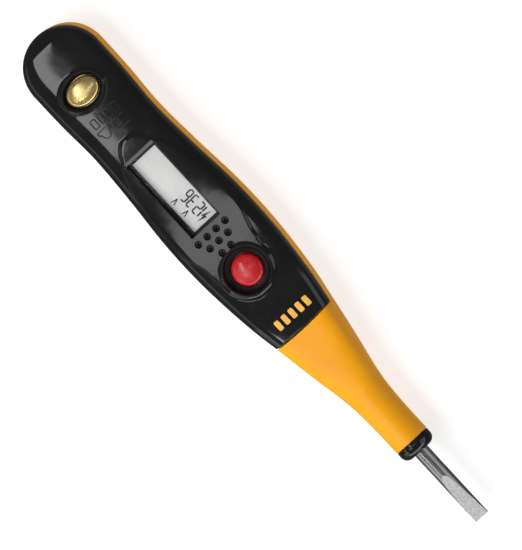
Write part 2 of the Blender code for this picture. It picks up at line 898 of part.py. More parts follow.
def test_contact():
    """Oval brass dome on a flange that keeps it under the cover."""
    material = finish_material("brass", (0.72, 0.56, 0.22), 0.22, 1.0)
    flange = (CONTACT_HALF_X + CONTACT_FLANGE, CONTACT_HALF_Y + CONTACT_FLANGE)
    profile = [
        (0.0, 0.0, CONTACT_BASE),
        (*flange, CONTACT_BASE),
        (*flange, CONTACT_FLANGE_TOP),
        (CONTACT_HALF_X, CONTACT_HALF_Y, CONTACT_FLANGE_TOP),
    ]
    profile += dome(CONTACT_HALF_X, CONTACT_HALF_Y, CONTACT_SHOULDER, CONTACT_TOP, 6)
    contact = oval("test_contact", profile, material)
    place(contact, along(CONTACT_S), 0, AXIS_Z)
    spring = coil(
        "test_contact_spring",
        1.9 * MM,
        0.18 * MM,
        CONTACT_BASE - 2 * GAP,
        4,
        finish_material("contact_spring", (0.65, 0.65, 0.66), 0.3, 1.0),
    )
    place(spring, along(CONTACT_S), 0, above(GAP))


def red_button():
    material = finish_material("red_clear", (0.62, 0.01, 0.015), 0.12)
    flange = BUTTON_RADIUS + BUTTON_FLANGE
    profile = [
        (0.0, 0.0, BUTTON_BASE),
        (flange, flange, BUTTON_BASE),
        (flange, flange, BUTTON_FLANGE_TOP),
        (BUTTON_RADIUS, BUTTON_RADIUS, BUTTON_FLANGE_TOP),
    ]
    profile += dome(BUTTON_RADIUS, BUTTON_RADIUS, DISH_FLOOR, BUTTON_TOP, 7)
    place(oval("red_button", profile, material), along(BUTTON_S), 0, AXIS_Z)


def tact_switch():
    """Square switch on the board; its plunger follows the red button."""
    x = along(BUTTON_S)
    body = block(
        "tact_switch_body",
        (x - SWITCH_HALF, -SWITCH_HALF, above(GAP)),
        (x + SWITCH_HALF, SWITCH_HALF, above(SWITCH_TOP)),
        finish_material("switch_black", (0.03, 0.03, 0.032), 0.4),
    )
    bore_radius = PLUNGER_RADIUS + 0.2 * MM
    profile = [(bore_radius, 0.4 * MM), (bore_radius, 3.0 * MM)]
    bore = turned("cut_plunger_bore", profile, sides=20)
    cut(body, place(bore, x, 0, AXIS_Z))
    plunger = turned(
        "tact_switch_plunger",
        [
            (0.0, 1.0 * MM),
            (PLUNGER_RADIUS, 1.0 * MM),
            (PLUNGER_RADIUS, BUTTON_BASE - 0.25 * MM),
            (PLUNGER_RADIUS - 0.15 * MM, BUTTON_BASE - 0.1 * MM),
            (0.0, BUTTON_BASE - 0.1 * MM),
        ],
        finish_material("plunger_white", (0.75, 0.75, 0.72), 0.4),
        sides=20,
    )
    place(plunger, x, 0, AXIS_Z)


def display_stack():
    """From the top: pane, dark frame, LCD glass, and the rubber strips down to the board."""
    centred_block(
        "display_window",
        GLASS_LENGTH,
        GLASS_WIDTH,
        *PANE_LEVELS,
        finish_material("clear_pane", (0.9, 0.92, 0.92), 0.05, alpha=0.25),
    )
    gasket = centred_block(
        "display_gasket",
        GLASS_LENGTH,
        GLASS_WIDTH,
        *GASKET_LEVELS,
        finish_material("dark_frame", (0.02, 0.02, 0.02), 0.6),
    )
    cut(
        gasket,
        centred_block("cut_gasket", VISIBLE_LENGTH, VISIBLE_WIDTH, 2.0 * MM, 5.0 * MM),
    )
    centred_block(
        "lcd_panel",
        GLASS_LENGTH,
        GLASS_WIDTH,
        *LCD_LEVELS,
        finish_material("lcd_grey", (0.55, 0.57, 0.55), 0.25),
    )
    rubber = finish_material("zebra_rubber", (0.25, 0.25, 0.27), 0.7)
    x = along(DISPLAY_S)
    for name, side in (("zebra_strip_left", 1), ("zebra_strip_right", -1)):
        y0, y1 = sorted((side * STRIP_INNER, side * STRIP_OUTER))
        block(
            name,
            (x - STRIP_LENGTH / 2, y0, above(GAP)),
            (x + STRIP_LENGTH / 2, y1, above(STRIP_TOP)),
            rubber,
        )


# ---------------------------------------------------------------- board and electronics


def circuit_board():
    material = finish_material("board_green", (0.02, 0.16, 0.07), 0.4)
    start, end = along(BOARD_START), along(BOARD_END)
    wide, tail = BOARD_HALF_WIDTH, BOARD_TAIL_HALF_WIDTH
    side = [
        (start, wide - BOARD_CORNER),
        (start + BOARD_CORNER, wide),
        (along(70 * MM), wide),
        (along(74 * MM), tail),
        (end, tail),
    ]
    outline = side + [(x, -y) for x, y in reversed(side)]
    board = prism("circuit_board", outline, above(-BOARD_THICKNESS), above(0), material)
    bore = [(2.6 * MM, above(-3 * MM)), (2.6 * MM, above(3 * MM))]
    hole = turned("cut_board_boss_hole", bore, sides=20)
    cut(board, place(hole, along(COVER_SCREW_S)))
    for side_sign in (-1, 1):
        small = [(0.75 * MM, above(-3 * MM)), (0.75 * MM, above(3 * MM))]
        hole = turned(f"cut_board_screw_hole_{side_sign}", small, sides=SMALL_SIDES)
        cut(board, place(hole, along(BOARD_SCREW_S), side_sign * BOARD_SCREW_Y))
    return board


def driver_chip():
    """Chip under a round drop of epoxy on the board's underside."""
    radius, depth = 3.6 * MM, 1.1 * MM
    profile = [(0.0, 0.0), (radius, 0.0)]
    for k in range(1, 6):
        angle = math.pi / 2 * k / 5
        reach = 0.0 if k == 5 else radius * math.cos(angle)
        profile.append((reach, -depth * math.sin(angle)))
    chip = turned(
        "driver_chip", profile, finish_material("epoxy_black", (0.02, 0.02, 0.02), 0.3), sides=20
    )
    place(chip, along(46 * MM), 0, above(-BOARD_THICKNESS - GAP))


def buzzer():
    """Round sounder behind the holes: a cup with a port, a brass plate and its ceramic disc."""
    x = along(58.7 * MM)
    radius, wall = 3.85 * MM, 0.4 * MM
    low, high, roof = 0.12 * MM, 2.4 * MM, 2.0 * MM
    port = 0.8 * MM
    case = turned(
        "buzzer_case",
        [
            (radius - wall, low),
            (radius, low),
            (radius, high),
            (port, high),
            (port, roof),
            (radius - wall, roof),
        ],
        finish_material("buzzer_black", (0.025, 0.025, 0.027), 0.45),
        sides=24,
        closed_loop=True,
    )
    place(case, x, 0, AXIS_Z)
    for name, reach, z0, z1, colour, metallic in (
        ("piezo_plate", 3.25 * MM, 0.5 * MM, 0.65 * MM, (0.75, 0.58, 0.28), 1.0),
        ("piezo_ceramic", 2.4 * MM, 0.8 * MM, 0.95 * MM, (0.85, 0.84, 0.8), 0.0),
    ):
        disc = turned(
            name,
            [(reach, z0), (reach, z1)],
            finish_material(name + "_finish", colour, 0.4, metallic),
            sides=24,
        )
        place(disc, x, 0, AXIS_Z)


def axial_resistor(name, x, y):
    """Barrel resistor lying along the board."""
    barrel = turned(
        name,
        [
            (0.0, -3.7 * MM),
            (0.28 * MM, -3.7 * MM),
            (0.28 * MM, -2.7 * MM),
            (0.85 * MM, -2.7 * MM),
            (1.05 * MM, -2.4 * MM),
            (1.05 * MM, -1.7 * MM),
            (0.9 * MM, -1.4 * MM),
            (0.9 * MM, 1.4 * MM),
            (1.05 * MM, 1.7 * MM),
            (1.05 * MM, 2.4 * MM),
            (0.85 * MM, 2.7 * MM),
            (0.28 * MM, 2.7 * MM),
            (0.28 * MM, 3.7 * MM),
            (0.0, 3.7 * MM),
        ],
        finish_material(name + "_body", (0.5, 0.62, 0.68), 0.4),
        sides=SMALL_SIDES,
    )
    place(barrel, x, y, above(1.25 * MM), lengthwise=True)


def small_parts():
    for name, side in (("resistor_left", 1), ("resistor_right", -1)):
        axial_resistor(name, along(77.5 * MM), side * 4.2 * MM)
    chips = [
        ("filter_capacitor", 72.4, 5.0, 1.6, 0.8, 0.8, (0.6, 0.45, 0.3)),
        ("signal_transistor", 72.4, -4.8, 1.5, 1.3, 1.0, (0.03, 0.03, 0.03)),
        ("smd_resistor_1", 24.0, 5.0, 1.0, 0.6, 0.5, (0.04, 0.04, 0.04)),
        ("smd_resistor_2", 27.0, 5.0, 1.0, 0.6, 0.5, (0.04, 0.04, 0.04)),
        ("smd_resistor_3", 24.0, -5.0, 1.0, 0.6, 0.5, (0.04, 0.04, 0.04)),
        ("smd_resistor_4", 27.0, -5.0, 1.0, 0.6, 0.5, (0.04, 0.04, 0.04)),
    ]
    for name, station, y, half_x, half_y, height, colour in chips:
        x = along(station * MM)
        block(
            name,
            (x - half_x * MM, (y - half_y) * MM, above(0.1 * MM)),
            (x + half_x * MM, (y + half_y) * MM, above((0.1 + height) * MM)),
            finish_material(name + "_body", colour, 0.45),
        )


def batteries():
    """Two button cells on their flat sides, the strip below and the leaf contacts above them."""
    steel = finish_material("cell_steel", (0.7, 0.7, 0.7), 0.25, 1.0)
    for end, station in CELL_STATIONS.items():
        cell = turned(
            f"battery_cell_{end}",
            [
                (0.0, 0.0),
                (CELL_RADIUS - 0.25 * MM, 0.0),
                (CELL_RADIUS, 0.25 * MM),
                (CELL_RADIUS, CELL_HEIGHT - 0.5 * MM),
                (CELL_RADIUS - 0.6 * MM, CELL_HEIGHT - 0.4 * MM),
                (CELL_RADIUS - 0.7 * MM, CELL_HEIGHT),
                (0.0, CELL_HEIGHT),
            ],
            steel,
        )
        place(cell, along(station), 0, CELL_BASE)
    block(
        "battery_bridge",
        (along(11.0 * MM), -1.8 * MM, DOOR_PLATE + GAP),
        (along(26.4 * MM), 1.8 * MM, DOOR_PLATE + GAP + 0.2 * MM),
        finish_material("bridge_nickel", (0.65, 0.64, 0.6), 0.3, 1.0),
    )
    leaf = finish_material("leaf_nickel", (0.68, 0.62, 0.45), 0.3, 1.0)
    for name, end in (("battery_contact_plus", "front"), ("battery_contact_minus", "rear")):
        leaf_contact(name, along(CELL_STATIONS[end]), leaf)


def leaf_contact(name, x, material):
    """Strip under the board, bowed down on to the cell."""
    top = above(-BOARD_THICKNESS - 0.1 * MM)
    thickness, bow, half = 0.15 * MM, 0.28 * MM, 2.4 * MM
    upper, lower = [], []
    for k in range(9):
        share = k / 8
        drop = bow * math.sin(math.pi * share) ** 2
        point_x = x - half + 2 * half * share
        upper.append((point_x, top - drop))
        lower.append((point_x, top - drop - thickness))
    outline = upper + lower[::-1]
    bm = bmesh.new()
    rings = [[bm.verts.new((px, y, pz)) for px, pz in outline] for y in (-1 * MM, 1 * MM)]
    bridge_rings(bm, rings)
    bm.faces.new(rings[0])
    bm.faces.new(rings[1])
    return mesh_object(name, bm, material)


# ---------------------------------------------------------------- screws


def screw(name, shank, head, head_height, length, slot):
    """Pan-head screw pointing up, its head at the bottom with a cross recess."""
    profile = [
        (0.0, 0.0),
        (head - 0.2 * MM, 0.0),
        (head, 0.2 * MM),
        (head, head_height),
        (shank, head_height),
        (shank, length - shank),
        (0.3 * shank, length),
        (0.0, length),
    ]
    material = finish_material(name + "_zinc", (0.6, 0.6, 0.62), 0.3, 1.0)
    piece = turned(name, profile, material, sides=SMALL_SIDES)
    reach, depth = head * 0.6, head_height * 0.55
    for turn, (wide, deep) in enumerate(((reach, slot / 2), (slot / 2, reach))):
        tool = block(f"cut_{name}_{turn}", (-wide, -deep, -1 * MM), (wide, deep, depth))
        tool.parent = piece
        cut(piece, tool)
    return piece


def screws():
    piece = screw("cover_screw", COVER_SCREW_SHANK, COVER_SCREW_HEAD, 1.2 * MM, 9.2 * MM, 0.5 * MM)
    place(piece, along(COVER_SCREW_S), 0, 0.35 * MM)
    for name, side in (("board_screw_left", 1), ("board_screw_right", -1)):
        piece = screw(name, BOARD_SCREW_SHANK, BOARD_SCREW_HEAD, 0.8 * MM, 3.7 * MM, 0.3 * MM)
        base = above(-BOARD_THICKNESS - 0.9 * MM)
        place(piece, along(BOARD_SCREW_S), side * BOARD_SCREW_Y, base)


def build():
    clear_scene()
    front_cover()
    rear_housing()
    battery_door()
    nose_collar()
    blade_sleeve()
    screwdriver_blade()
    tip_circuit()
    test_contact()
    red_button()
    tact_switch()
    display_stack()
    circuit_board()
    driver_chip()
    buzzer()
    small_parts()
    batteries()
    screws()


build()
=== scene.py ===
"""Looks of the voltage tester pen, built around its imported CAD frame.

Shapes are written in millimetres as (station, y, height). Station runs from the head end to the
blade's tip, and height is measured from the blade's axis. to_frame() turns them into metres.
"""

import json
import math

import bmesh
import bpy
import numpy as np
from mathutils import Matrix, Vector

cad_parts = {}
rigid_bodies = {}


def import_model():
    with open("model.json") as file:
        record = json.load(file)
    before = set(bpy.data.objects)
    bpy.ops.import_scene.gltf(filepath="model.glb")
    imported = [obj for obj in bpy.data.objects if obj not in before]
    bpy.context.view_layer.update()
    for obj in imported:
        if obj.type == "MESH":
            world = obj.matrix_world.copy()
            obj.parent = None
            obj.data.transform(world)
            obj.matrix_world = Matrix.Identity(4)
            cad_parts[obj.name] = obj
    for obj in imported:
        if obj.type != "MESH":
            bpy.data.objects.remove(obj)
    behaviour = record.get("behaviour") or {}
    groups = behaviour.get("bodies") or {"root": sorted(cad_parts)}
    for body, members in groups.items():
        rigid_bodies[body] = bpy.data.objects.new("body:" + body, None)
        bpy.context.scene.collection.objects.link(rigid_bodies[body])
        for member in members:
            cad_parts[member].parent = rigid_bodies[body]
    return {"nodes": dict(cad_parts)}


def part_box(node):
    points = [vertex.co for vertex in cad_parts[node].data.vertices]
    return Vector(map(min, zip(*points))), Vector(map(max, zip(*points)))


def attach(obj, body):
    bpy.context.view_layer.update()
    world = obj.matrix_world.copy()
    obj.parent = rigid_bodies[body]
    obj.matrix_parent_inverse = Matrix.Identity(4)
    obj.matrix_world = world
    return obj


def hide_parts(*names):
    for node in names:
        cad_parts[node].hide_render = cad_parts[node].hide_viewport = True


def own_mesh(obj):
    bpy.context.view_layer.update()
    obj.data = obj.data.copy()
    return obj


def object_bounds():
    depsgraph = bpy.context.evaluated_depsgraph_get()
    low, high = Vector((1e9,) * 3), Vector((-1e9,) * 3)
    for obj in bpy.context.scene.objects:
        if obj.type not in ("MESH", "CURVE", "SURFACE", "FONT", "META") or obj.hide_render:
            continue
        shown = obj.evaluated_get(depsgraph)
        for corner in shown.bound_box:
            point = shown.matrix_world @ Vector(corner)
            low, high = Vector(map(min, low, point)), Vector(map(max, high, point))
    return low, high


for leftover in list(bpy.data.objects):
    bpy.data.objects.remove(leftover)
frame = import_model()
cad_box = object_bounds()

MM = 0.001


def middle(node):
    low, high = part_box(node)
    return (low + high) / 2


AXIS_Z = middle("nose_collar").z / MM
HALF_LENGTH = cad_box[1].x / MM
BACK = -AXIS_Z


def station_of(x):
    return x / MM + HALF_LENGTH


def spot(node):
    """Station and y of a CAD node's middle."""
    centre = middle(node)
    return station_of(centre.x), centre.y / MM


def levels(node):
    """Lowest and highest height of a CAD node."""
    return [corner.z / MM - AXIS_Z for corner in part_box(node)]


def ends(node):
    """First and last station of a CAD node."""
    return [station_of(corner.x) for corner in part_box(node)]


# ---------------------------------------------------------------- sizes

# The tables are (station, value) points, as in the CAD source except for the top at 28 mm.
HEAD_RADIUS = 9.3
WALL = 1.4
NOSE_END = 117.8
COVER_END = 84.4
SEAM = 0.2
HALF_WIDTHS = [
    (9.3, 9.3), (18.0, 9.2), (28.0, 8.75), (40.0, 9.35), (50.0, 10.15), (58.0, 10.35),
    (66.0, 10.05), (76.0, 9.05), (85.0, 7.65), (95.0, 6.05), (103.0, 4.75), (110.0, 4.3),
    (118.0, 4.25),
]
TOP_HEIGHTS = [
    (9.3, 4.5), (28.0, 4.8), (38.0, 4.8), (72.0, 4.8), (90.0, 4.65), (103.0, 4.45), (110.0, 4.3),
    (118.0, 4.25),
]
BACK_DEPTHS = [
    (72.0, 7.25), (85.0, 6.8), (95.0, 5.8), (103.0, 4.85), (110.0, 4.3), (118.0, 4.25),
]
TOP_SHARPNESS = [(78.0, 4.4), (108.0, 2.0)]
BACK_SHARPNESS = [(76.0, 5.2), (108.0, 2.0)]
HEAD_TOP_SHARPNESS = 3.4
HEAD_BACK_SHARPNESS = 5.0
END_BULGE = 0.8  # bow of the cover's front edge, over 12 mm of y
BOW_FADE = (78.0, COVER_END, 92.0)  # stations between which that bow grows and fades
EDGE = 0.22  # rounding of moulded edges
QUARTER = np.radians(np.linspace(0, 90, 6))  # turns along a rounded edge
FIRST_TURN = 2.5  # degrees round the head at which the first ring stands
PAST_HEAD = -20  # a station well outside the head, for tools
SCREW_S = 77.5
CHAMBER_RADIUS = 3.0

PANEL_RAISE = 0.35
PANEL_EDGE = 0.55  # width over which the panel rises
PANEL_BOW = 28.5
PANEL_BOW_DEPTH = 2.7
PANEL_STERN_RADIUS = 6.0
PANEL_SIDES = [(31.2, 3.7), (34.5, 5.8), (41.7, 7.8), (48.8, 8.7), (55.9, 8.5), (63.0, 6.9)]

CONTACT_S = spot("test_contact")[0]
CONTACT_HALF = (2.9, 4.05)
CONTACT_RIM = (4.0, 4.95)
CONTACT_RIM_SIDE = (4.92, 0.85)  # height of the crest, and slope of the rim's outer side
BUTTON_S = spot("red_button")[0]
BUTTON_RADIUS = 3.55
BEZEL_CREST = 5.45
BEZEL_SIDE = (5.33, 0.75)
RIM_SOFTNESS = 0.22
RIM_REACH = 4  # mm from a crest within which the cover is raised
DISPLAY_S = spot("lcd_panel")[0]
LCD_TOP = levels("lcd_panel")[1]
APERTURE = (-10.15, 10.5, 4.0)  # along the tool from the display's middle, and half width
HOLE_ROWS = [(56.2, 4), (58.5, 3), (60.9, 2)]
HOLE_PITCH = 2.66
HOLE_RADIUS = 0.8
HOLE_DEPTH = 0.55
HOLE_BORE = 0.2

BLADE_RADIUS = 1.75
TIP_S = station_of(cad_box[1].x)
FLAT = ((127.8, 1.6), (140.5, 0.38))  # (station, height) at the start and end of each ground flat
THREAD_PITCH = 0.25
THUMB_GROOVE = [  # (y, radius)
    (-3.2, 0.05), (-3.05, 0.3), (-2.8, 0.42), (2.8, 0.42), (3.05, 0.3), (3.2, 0.05),
]


# ---------------------------------------------------------------- mesh helpers


def to_frame(points):
    """(station, y, height) points in mm as the frame's metres."""
    placed = np.array(points, float) * MM
    placed[:, 0] -= HALF_LENGTH * MM
    placed[:, 2] += AXIS_Z * MM
    return placed


def placed(name, data):
    """New object in the scene."""
    obj = bpy.data.objects.new(name, data)
    bpy.context.scene.collection.objects.link(obj)
    return obj


def full_turn(sides):
    return np.linspace(0, math.tau, sides, endpoint=False)


def solid(name, points, faces, sharp=40):
    """Object from points in mm, with its faces turned out and its sharp edges marked."""
    mesh = bpy.data.meshes.new(name)
    mesh.from_pydata(to_frame(points).tolist(), [], faces)
    bm = bmesh.new()
    bm.from_mesh(mesh)
    if bm.calc_volume(signed=True) < 0:
        bmesh.ops.reverse_faces(bm, faces=bm.faces)
    bm.to_mesh(mesh)
    bm.free()
    return shade(placed(name, mesh), sharp)


def shade(obj, sharp=40):
    obj.data.shade_smooth()
    obj.data.set_sharp_from_angle(angle=math.radians(sharp))
    return obj


def grid_faces(rings, rows, ring_loop=False, row_loop=True):
    """Quads of a grid of points whose rows close on themselves."""
    last_ring = rings if ring_loop else rings - 1
    last_row = rows if row_loop else rows - 1
    i, j = np.meshgrid(np.arange(last_ring), np.arange(last_row), indexing="ij")
    above, beside = (i + 1) % rings, (j + 1) % rows
    corners = [i * rows + j, i * rows + beside, above * rows + beside, above * rows + j]
    return np.stack(corners, -1).reshape(-1, 4).tolist()


def loft(name, grid, ring_loop=False, sharp=40):
    """Solid through rings of points: grid[ring, row] is (station, y, height)."""
    grid = np.asarray(grid, float)
    rings, rows = grid.shape[:2]
    faces = grid_faces(rings, rows, ring_loop)
    if not ring_loop:
        faces.append(list(range(rows))[::-1])
        faces.append(list(range((rings - 1) * rows, rings * rows)))
    return solid(name, grid.reshape(-1, 3), faces, sharp)


def ovals(name, centre, profile, sides=96, ring_loop=False, sharp=40):
    """Upright solid through (half_x, half_y, height) ovals about (station, y)."""
    angles = full_turn(sides)
    rings = []
    for half_x, half_y, height in profile:
        x = centre[0] + half_x * np.cos(angles)
        y = centre[1] + half_y * np.sin(angles)
        rings.append(np.stack([x, y, np.full(sides, height)], -1))
    return loft(name, rings, ring_loop, sharp)


def turned(name, centre, profile, sides=96, ring_loop=False, sharp=40):
    """Upright solid through (radius, height) circles about (station, y)."""
    return ovals(name, centre, [(r, r, h) for r, h in profile], sides, ring_loop, sharp)


def lengthwise(name, profile, sides=96, ring_loop=False):
    """Solid through (station, radius) circles about the blade's axis."""
    angles = full_turn(sides)
    rings = []
    for station, radius in profile:
        y, h = radius * np.cos(angles), radius * np.sin(angles)
        rings.append(np.stack([np.full(sides, station), y, h], -1))
    return loft(name, rings, ring_loop)


def prism(name, outline, low, high, sharp=30):
    """Upright solid over a (station, y) outline."""
    rings = [[(s, y, h) for s, y in outline] for h in (low, high)]
    return loft(name, rings, sharp=sharp)


def rounded_box(name, low, high, rounding, steps=4):
    """Box between two corners with all its edges rounded."""
    (s0, y0, h0), (s1, y1, h1) = low, high
    turn = [math.pi / 2 * k / steps for k in range(steps + 1)]
    profile = [(rounding * (1 - math.sin(a)), h0 + rounding * (1 - math.cos(a))) for a in turn]
    profile += [(rounding * (1 - math.cos(a)), h1 - rounding * (1 - math.sin(a))) for a in turn]
    rings = []
    for inset, height in profile:
        sides = (s0 + inset, s1 - inset, y0 + inset, y1 - inset)
        outline = rounded_rectangle(*sides, rounding, steps)
        rings.append([(s, y, height) for s, y in outline])
    return loft(name, rings)


def rounded_rectangle(s0, s1, y0, y1, radius, steps=6, side_steps=1):
    """(station, y) outline with round corners, anticlockwise from the front corner on the +Y side."""
    radius = min(radius, (s1 - s0) / 2 * 0.999, (y1 - y0) / 2 * 0.999)
    back, front, right, left = s0 + radius, s1 - radius, y0 + radius, y1 - radius
    corners = [(front, left), (back, left), (back, right), (front, right)]

    def at(n, turn):
        angle = math.radians(90 * n + turn)
        return corners[n][0] + radius * math.cos(angle), corners[n][1] + radius * math.sin(angle)

    outline = []
    for n in range(4):
        outline += [at(n, 90 * k / steps) for k in range(steps + 1)]
        (a, b), (c, d) = outline[-1], at((n + 1) % 4, 0)
        shares = [k / side_steps for k in range(1, side_steps)]
        outline += [(a + (c - a) * t, b + (d - b) * t) for t in shares]
    return outline


def rectangle(s0, s1, half):
    """(station, y) corners of a rectangle across the tool's middle."""
    return [(s0, -half), (s1, -half), (s1, half), (s0, half)]


def stepped(name, s0, s1, half, steps):
    """Rectangular plug whose front and sides stand out by the (outward, height) of each step."""
    rings = []
    for out, height in steps:
        rings.append([(s, y, height) for s, y in rectangle(s0, s1 + out, half + out)])
    return loft(name, rings)


def joined(name, parts):
    """One object from several that don't touch."""
    bm = bmesh.new()
    for part in parts:
        bm.from_mesh(part.data)
        bpy.data.objects.remove(part)
    mesh = bpy.data.meshes.new(name)
    bm.to_mesh(mesh)
    bm.free()
    return placed(name, mesh)


def combine(target, operation, *tools, sharp=40):
    """Adds, cuts or keeps tools in turn, with the result written to the mesh."""
    for tool in tools:
        modifier = target.modifiers.new("shape", "BOOLEAN")
        modifier.operation = operation
        modifier.solver = "MANIFOLD"
        modifier.object = tool
    graph = bpy.context.evaluated_depsgraph_get()
    mesh = bpy.data.meshes.new_from_object(target.evaluated_get(graph))
    target.modifiers.clear()
    target.data = mesh
    for tool in tools:
        bpy.data.objects.remove(tool)
    return shade(target, sharp)


# ---------------------------------------------------------------- body shape


def curve_at(points, at):
    """Smooth curve through (station, value) points, level beyond both ends."""
    at = np.asarray(at, float)
    xs = np.array([p[0] for p in points])
    values = np.array([p[1] for p in points])
    slopes = np.zeros(len(xs))
    slopes[1:-1] = (values[2:] - values[:-2]) / (xs[2:] - xs[:-2])
    i = np.clip(np.searchsorted(xs, at, side="right") - 1, 0, len(xs) - 2)
    span = xs[i + 1] - xs[i]
    t = np.clip((at - xs[i]) / span, 0, 1)
    start = (1 + 2 * t) * (1 - t) ** 2 * values[i] + t * (1 - t) ** 2 * span * slopes[i]
    end = t**2 * (3 - 2 * t) * values[i + 1] - t**2 * (1 - t) * span * slopes[i + 1]
    return start + end


def shares(stations):
    """How much of the full width, top and back is left in the rounded head."""
    depth = np.clip((HEAD_RADIUS - stations) / HEAD_RADIUS, 0, 1)
    return (
        np.sqrt(1 - depth**2),
        (1 - depth**HEAD_TOP_SHARPNESS) ** (1 / HEAD_TOP_SHARPNESS),
        (1 - depth**HEAD_BACK_SHARPNESS) ** (1 / HEAD_BACK_SHARPNESS),
    )


def sizes(stations, inset):
    """Half width, top height and back depth, with the head's rounding, moved in by inset."""
    wide, high, deep = shares(stations)
    return (
        (curve_at(HALF_WIDTHS, stations) - inset) * wide,
        (curve_at(TOP_HEIGHTS, stations) - inset) * high,
        (curve_at(BACK_DEPTHS, stations) - inset) * deep,
    )


def shifted(stations, inset):
    """Stations of rings moved in by inset, which shrinks the head's round plan."""
    inner = HEAD_RADIUS - (HEAD_RADIUS - inset) * (HEAD_RADIUS - stations) / HEAD_RADIUS
    return np.where(stations < HEAD_RADIUS, inner, stations)


def around(stations, angles, inset=0.0):
    """Points of the section at angles from +Y over the top, as a grid of rings and rows."""
    stations = np.asarray(stations, float)[:, None]
    wide, high, deep = sizes(stations, inset)
    c, s = np.cos(angles), np.sin(angles)
    upper, lower = (2 / curve_at(table, stations) for table in (TOP_SHARPNESS, BACK_SHARPNESS))
    power = np.where(s >= 0, upper, lower)
    y = wide * np.sign(c) * np.abs(c) ** power
    h = np.where(s >= 0, high, deep) * np.sign(s) * np.abs(s) ** power
    h = np.maximum(h, BACK + inset)
    return np.stack([np.broadcast_to(shifted(stations, inset), y.shape), y, h], -1)


def angle_at(stations, height, sharpness, extent):
    """Angle at which the section reaches a height."""
    power = 2 / curve_at(sharpness, stations)
    return np.arcsin(np.clip(height / extent, 0, 1) ** (1 / power))


def side_at(stations, height, inset, top=True):
    """Half width of the section at a height above (or depth below) the seam."""
    wide, high, deep = sizes(stations, inset)
    extent, sharpness = (high, TOP_SHARPNESS) if top else (deep, BACK_SHARPNESS)
    n = curve_at(sharpness, stations)
    return wide * (1 - np.clip(height / extent, 0, 1) ** n) ** (1 / n)


def ring_stations(end, step, head_steps):
    """Stations from the head end: evenly turned round the head, then evenly spaced."""
    turn = np.radians(np.linspace(FIRST_TURN, 90, head_steps))
    head = HEAD_RADIUS * (1 - np.cos(turn))
    count = math.ceil((end - HEAD_RADIUS) / step)
    return np.concatenate([head[:-1], np.linspace(HEAD_RADIUS, end, count + 1)])


def whole_body(name, inset, end, step=1.2, head_steps=24, rows=96):
    """Closed loft of the whole body up to a flat end."""
    return loft(name, around(ring_stations(end, step, head_steps), full_turn(rows), inset))


def bow_end(points):
    """Bends the rings near the cover's front edge into a shallow arc."""
    start, peak, stop = BOW_FADE
    s, y = points[..., 0], points[..., 1]
    weight = smooth((s - start) / (peak - start)) * smooth((stop - s) / (stop - peak - 0.6))
    points[..., 0] = s - weight * END_BULGE * (y / 12.0) ** 2
    return points


def smooth(t):
    t = np.clip(t, 0, 1)
    return t * t * (3 - 2 * t)


# ---------------------------------------------------------------- front cover


def panel_outline():
    """(station, y) outline of the raised panel: bowed front, curved sides and round stern."""
    first, last = PANEL_SIDES[0], PANEL_SIDES[-1]
    share = np.linspace(0, 1, 14)[1:-1]
    bow = np.stack([PANEL_BOW + PANEL_BOW_DEPTH * share**2, first[1] * share], -1)
    stations = np.linspace(first[0], last[0], 60)
    sides = np.stack([stations, curve_at(PANEL_SIDES, stations)], -1)
    turn = np.radians(np.linspace(80, 0, 20))
    stern = PANEL_STERN_RADIUS * np.stack([np.cos(turn), np.sin(turn)], -1) + [BUTTON_S, 0.0]
    half = np.concatenate([bow, sides, stern])
    return np.concatenate([[[PANEL_BOW, 0.0]], half, (half * [1, -1])[::-1]])


def inside_distance(outline, s, y):
    """Distance of each point from an outline, positive inside it."""
    nearest = np.full(s.shape, 1e9)
    crossings = np.zeros(s.shape, int)
    for (s0, y0), (s1, y1) in zip(outline, np.roll(outline, -1, axis=0)):
        ds, dy = s1 - s0, y1 - y0
        length = ds * ds + dy * dy
        if length < 1e-12:
            continue
        t = np.clip(((s - s0) * ds + (y - y0) * dy) / length, 0, 1)
        nearest = np.minimum(nearest, np.hypot(s - s0 - t * ds, y - y0 - t * dy))
        if abs(dy) > 1e-12:
            spans = (y0 > y) != (y1 > y)
            crossings += spans & (s < s0 + (y - y0) * ds / dy)
    return np.where(crossings % 2 == 1, nearest, -nearest)


def panel_share(s, y):
    """How much of the panel's raise is reached at each point, with its rounded edge."""
    share = np.zeros(s.shape)
    near = (s > PANEL_BOW - 2) & (s < BUTTON_S + 9)
    distance = inside_distance(panel_outline(), s[near], y[near])
    share[near] = smooth((distance + 0.12) / PANEL_EDGE)
    return share


def oval_distance(s, y, centre, halves):
    """How far the concentric oval through each point lies outside the given one."""
    dx, dy = np.abs(s - centre), np.abs(y)
    grow = np.hypot(dx, dy) - sum(halves) / 2
    for _ in range(12):
        a = np.maximum(halves[0] + grow, 0.3)
        b = np.maximum(halves[1] + grow, 0.3)
        value = (dx / a) ** 2 + (dy / b) ** 2 - 1
        slope = -2 * (dx**2 / a**3 + dy**2 / b**3) - 1e-9
        grow = grow - np.clip(value / slope, -1.0, 1.0)
    return grow


def rim_height(distance, top, slope):
    """Height of a rounded rim's outer side, that far outside its crest."""
    outward = np.maximum(distance, 0)
    return top - slope * (np.sqrt(outward**2 + RIM_SOFTNESS**2) - RIM_SOFTNESS)


def rim_side(top, slope):
    """(outward, height) of a rim's outer side, a little under the cover's skin, up to its crest."""
    below = [(out, rim_height(out, top, slope) - gap) for out, gap in ((0.22, 0.02), (0.1, 0.003))]
    return [*below, (0.0, top)]


def soft_max(a, b, blend):
    return np.maximum(a, b) + np.maximum(blend - np.abs(a - b), 0) ** 2 / (4 * blend)


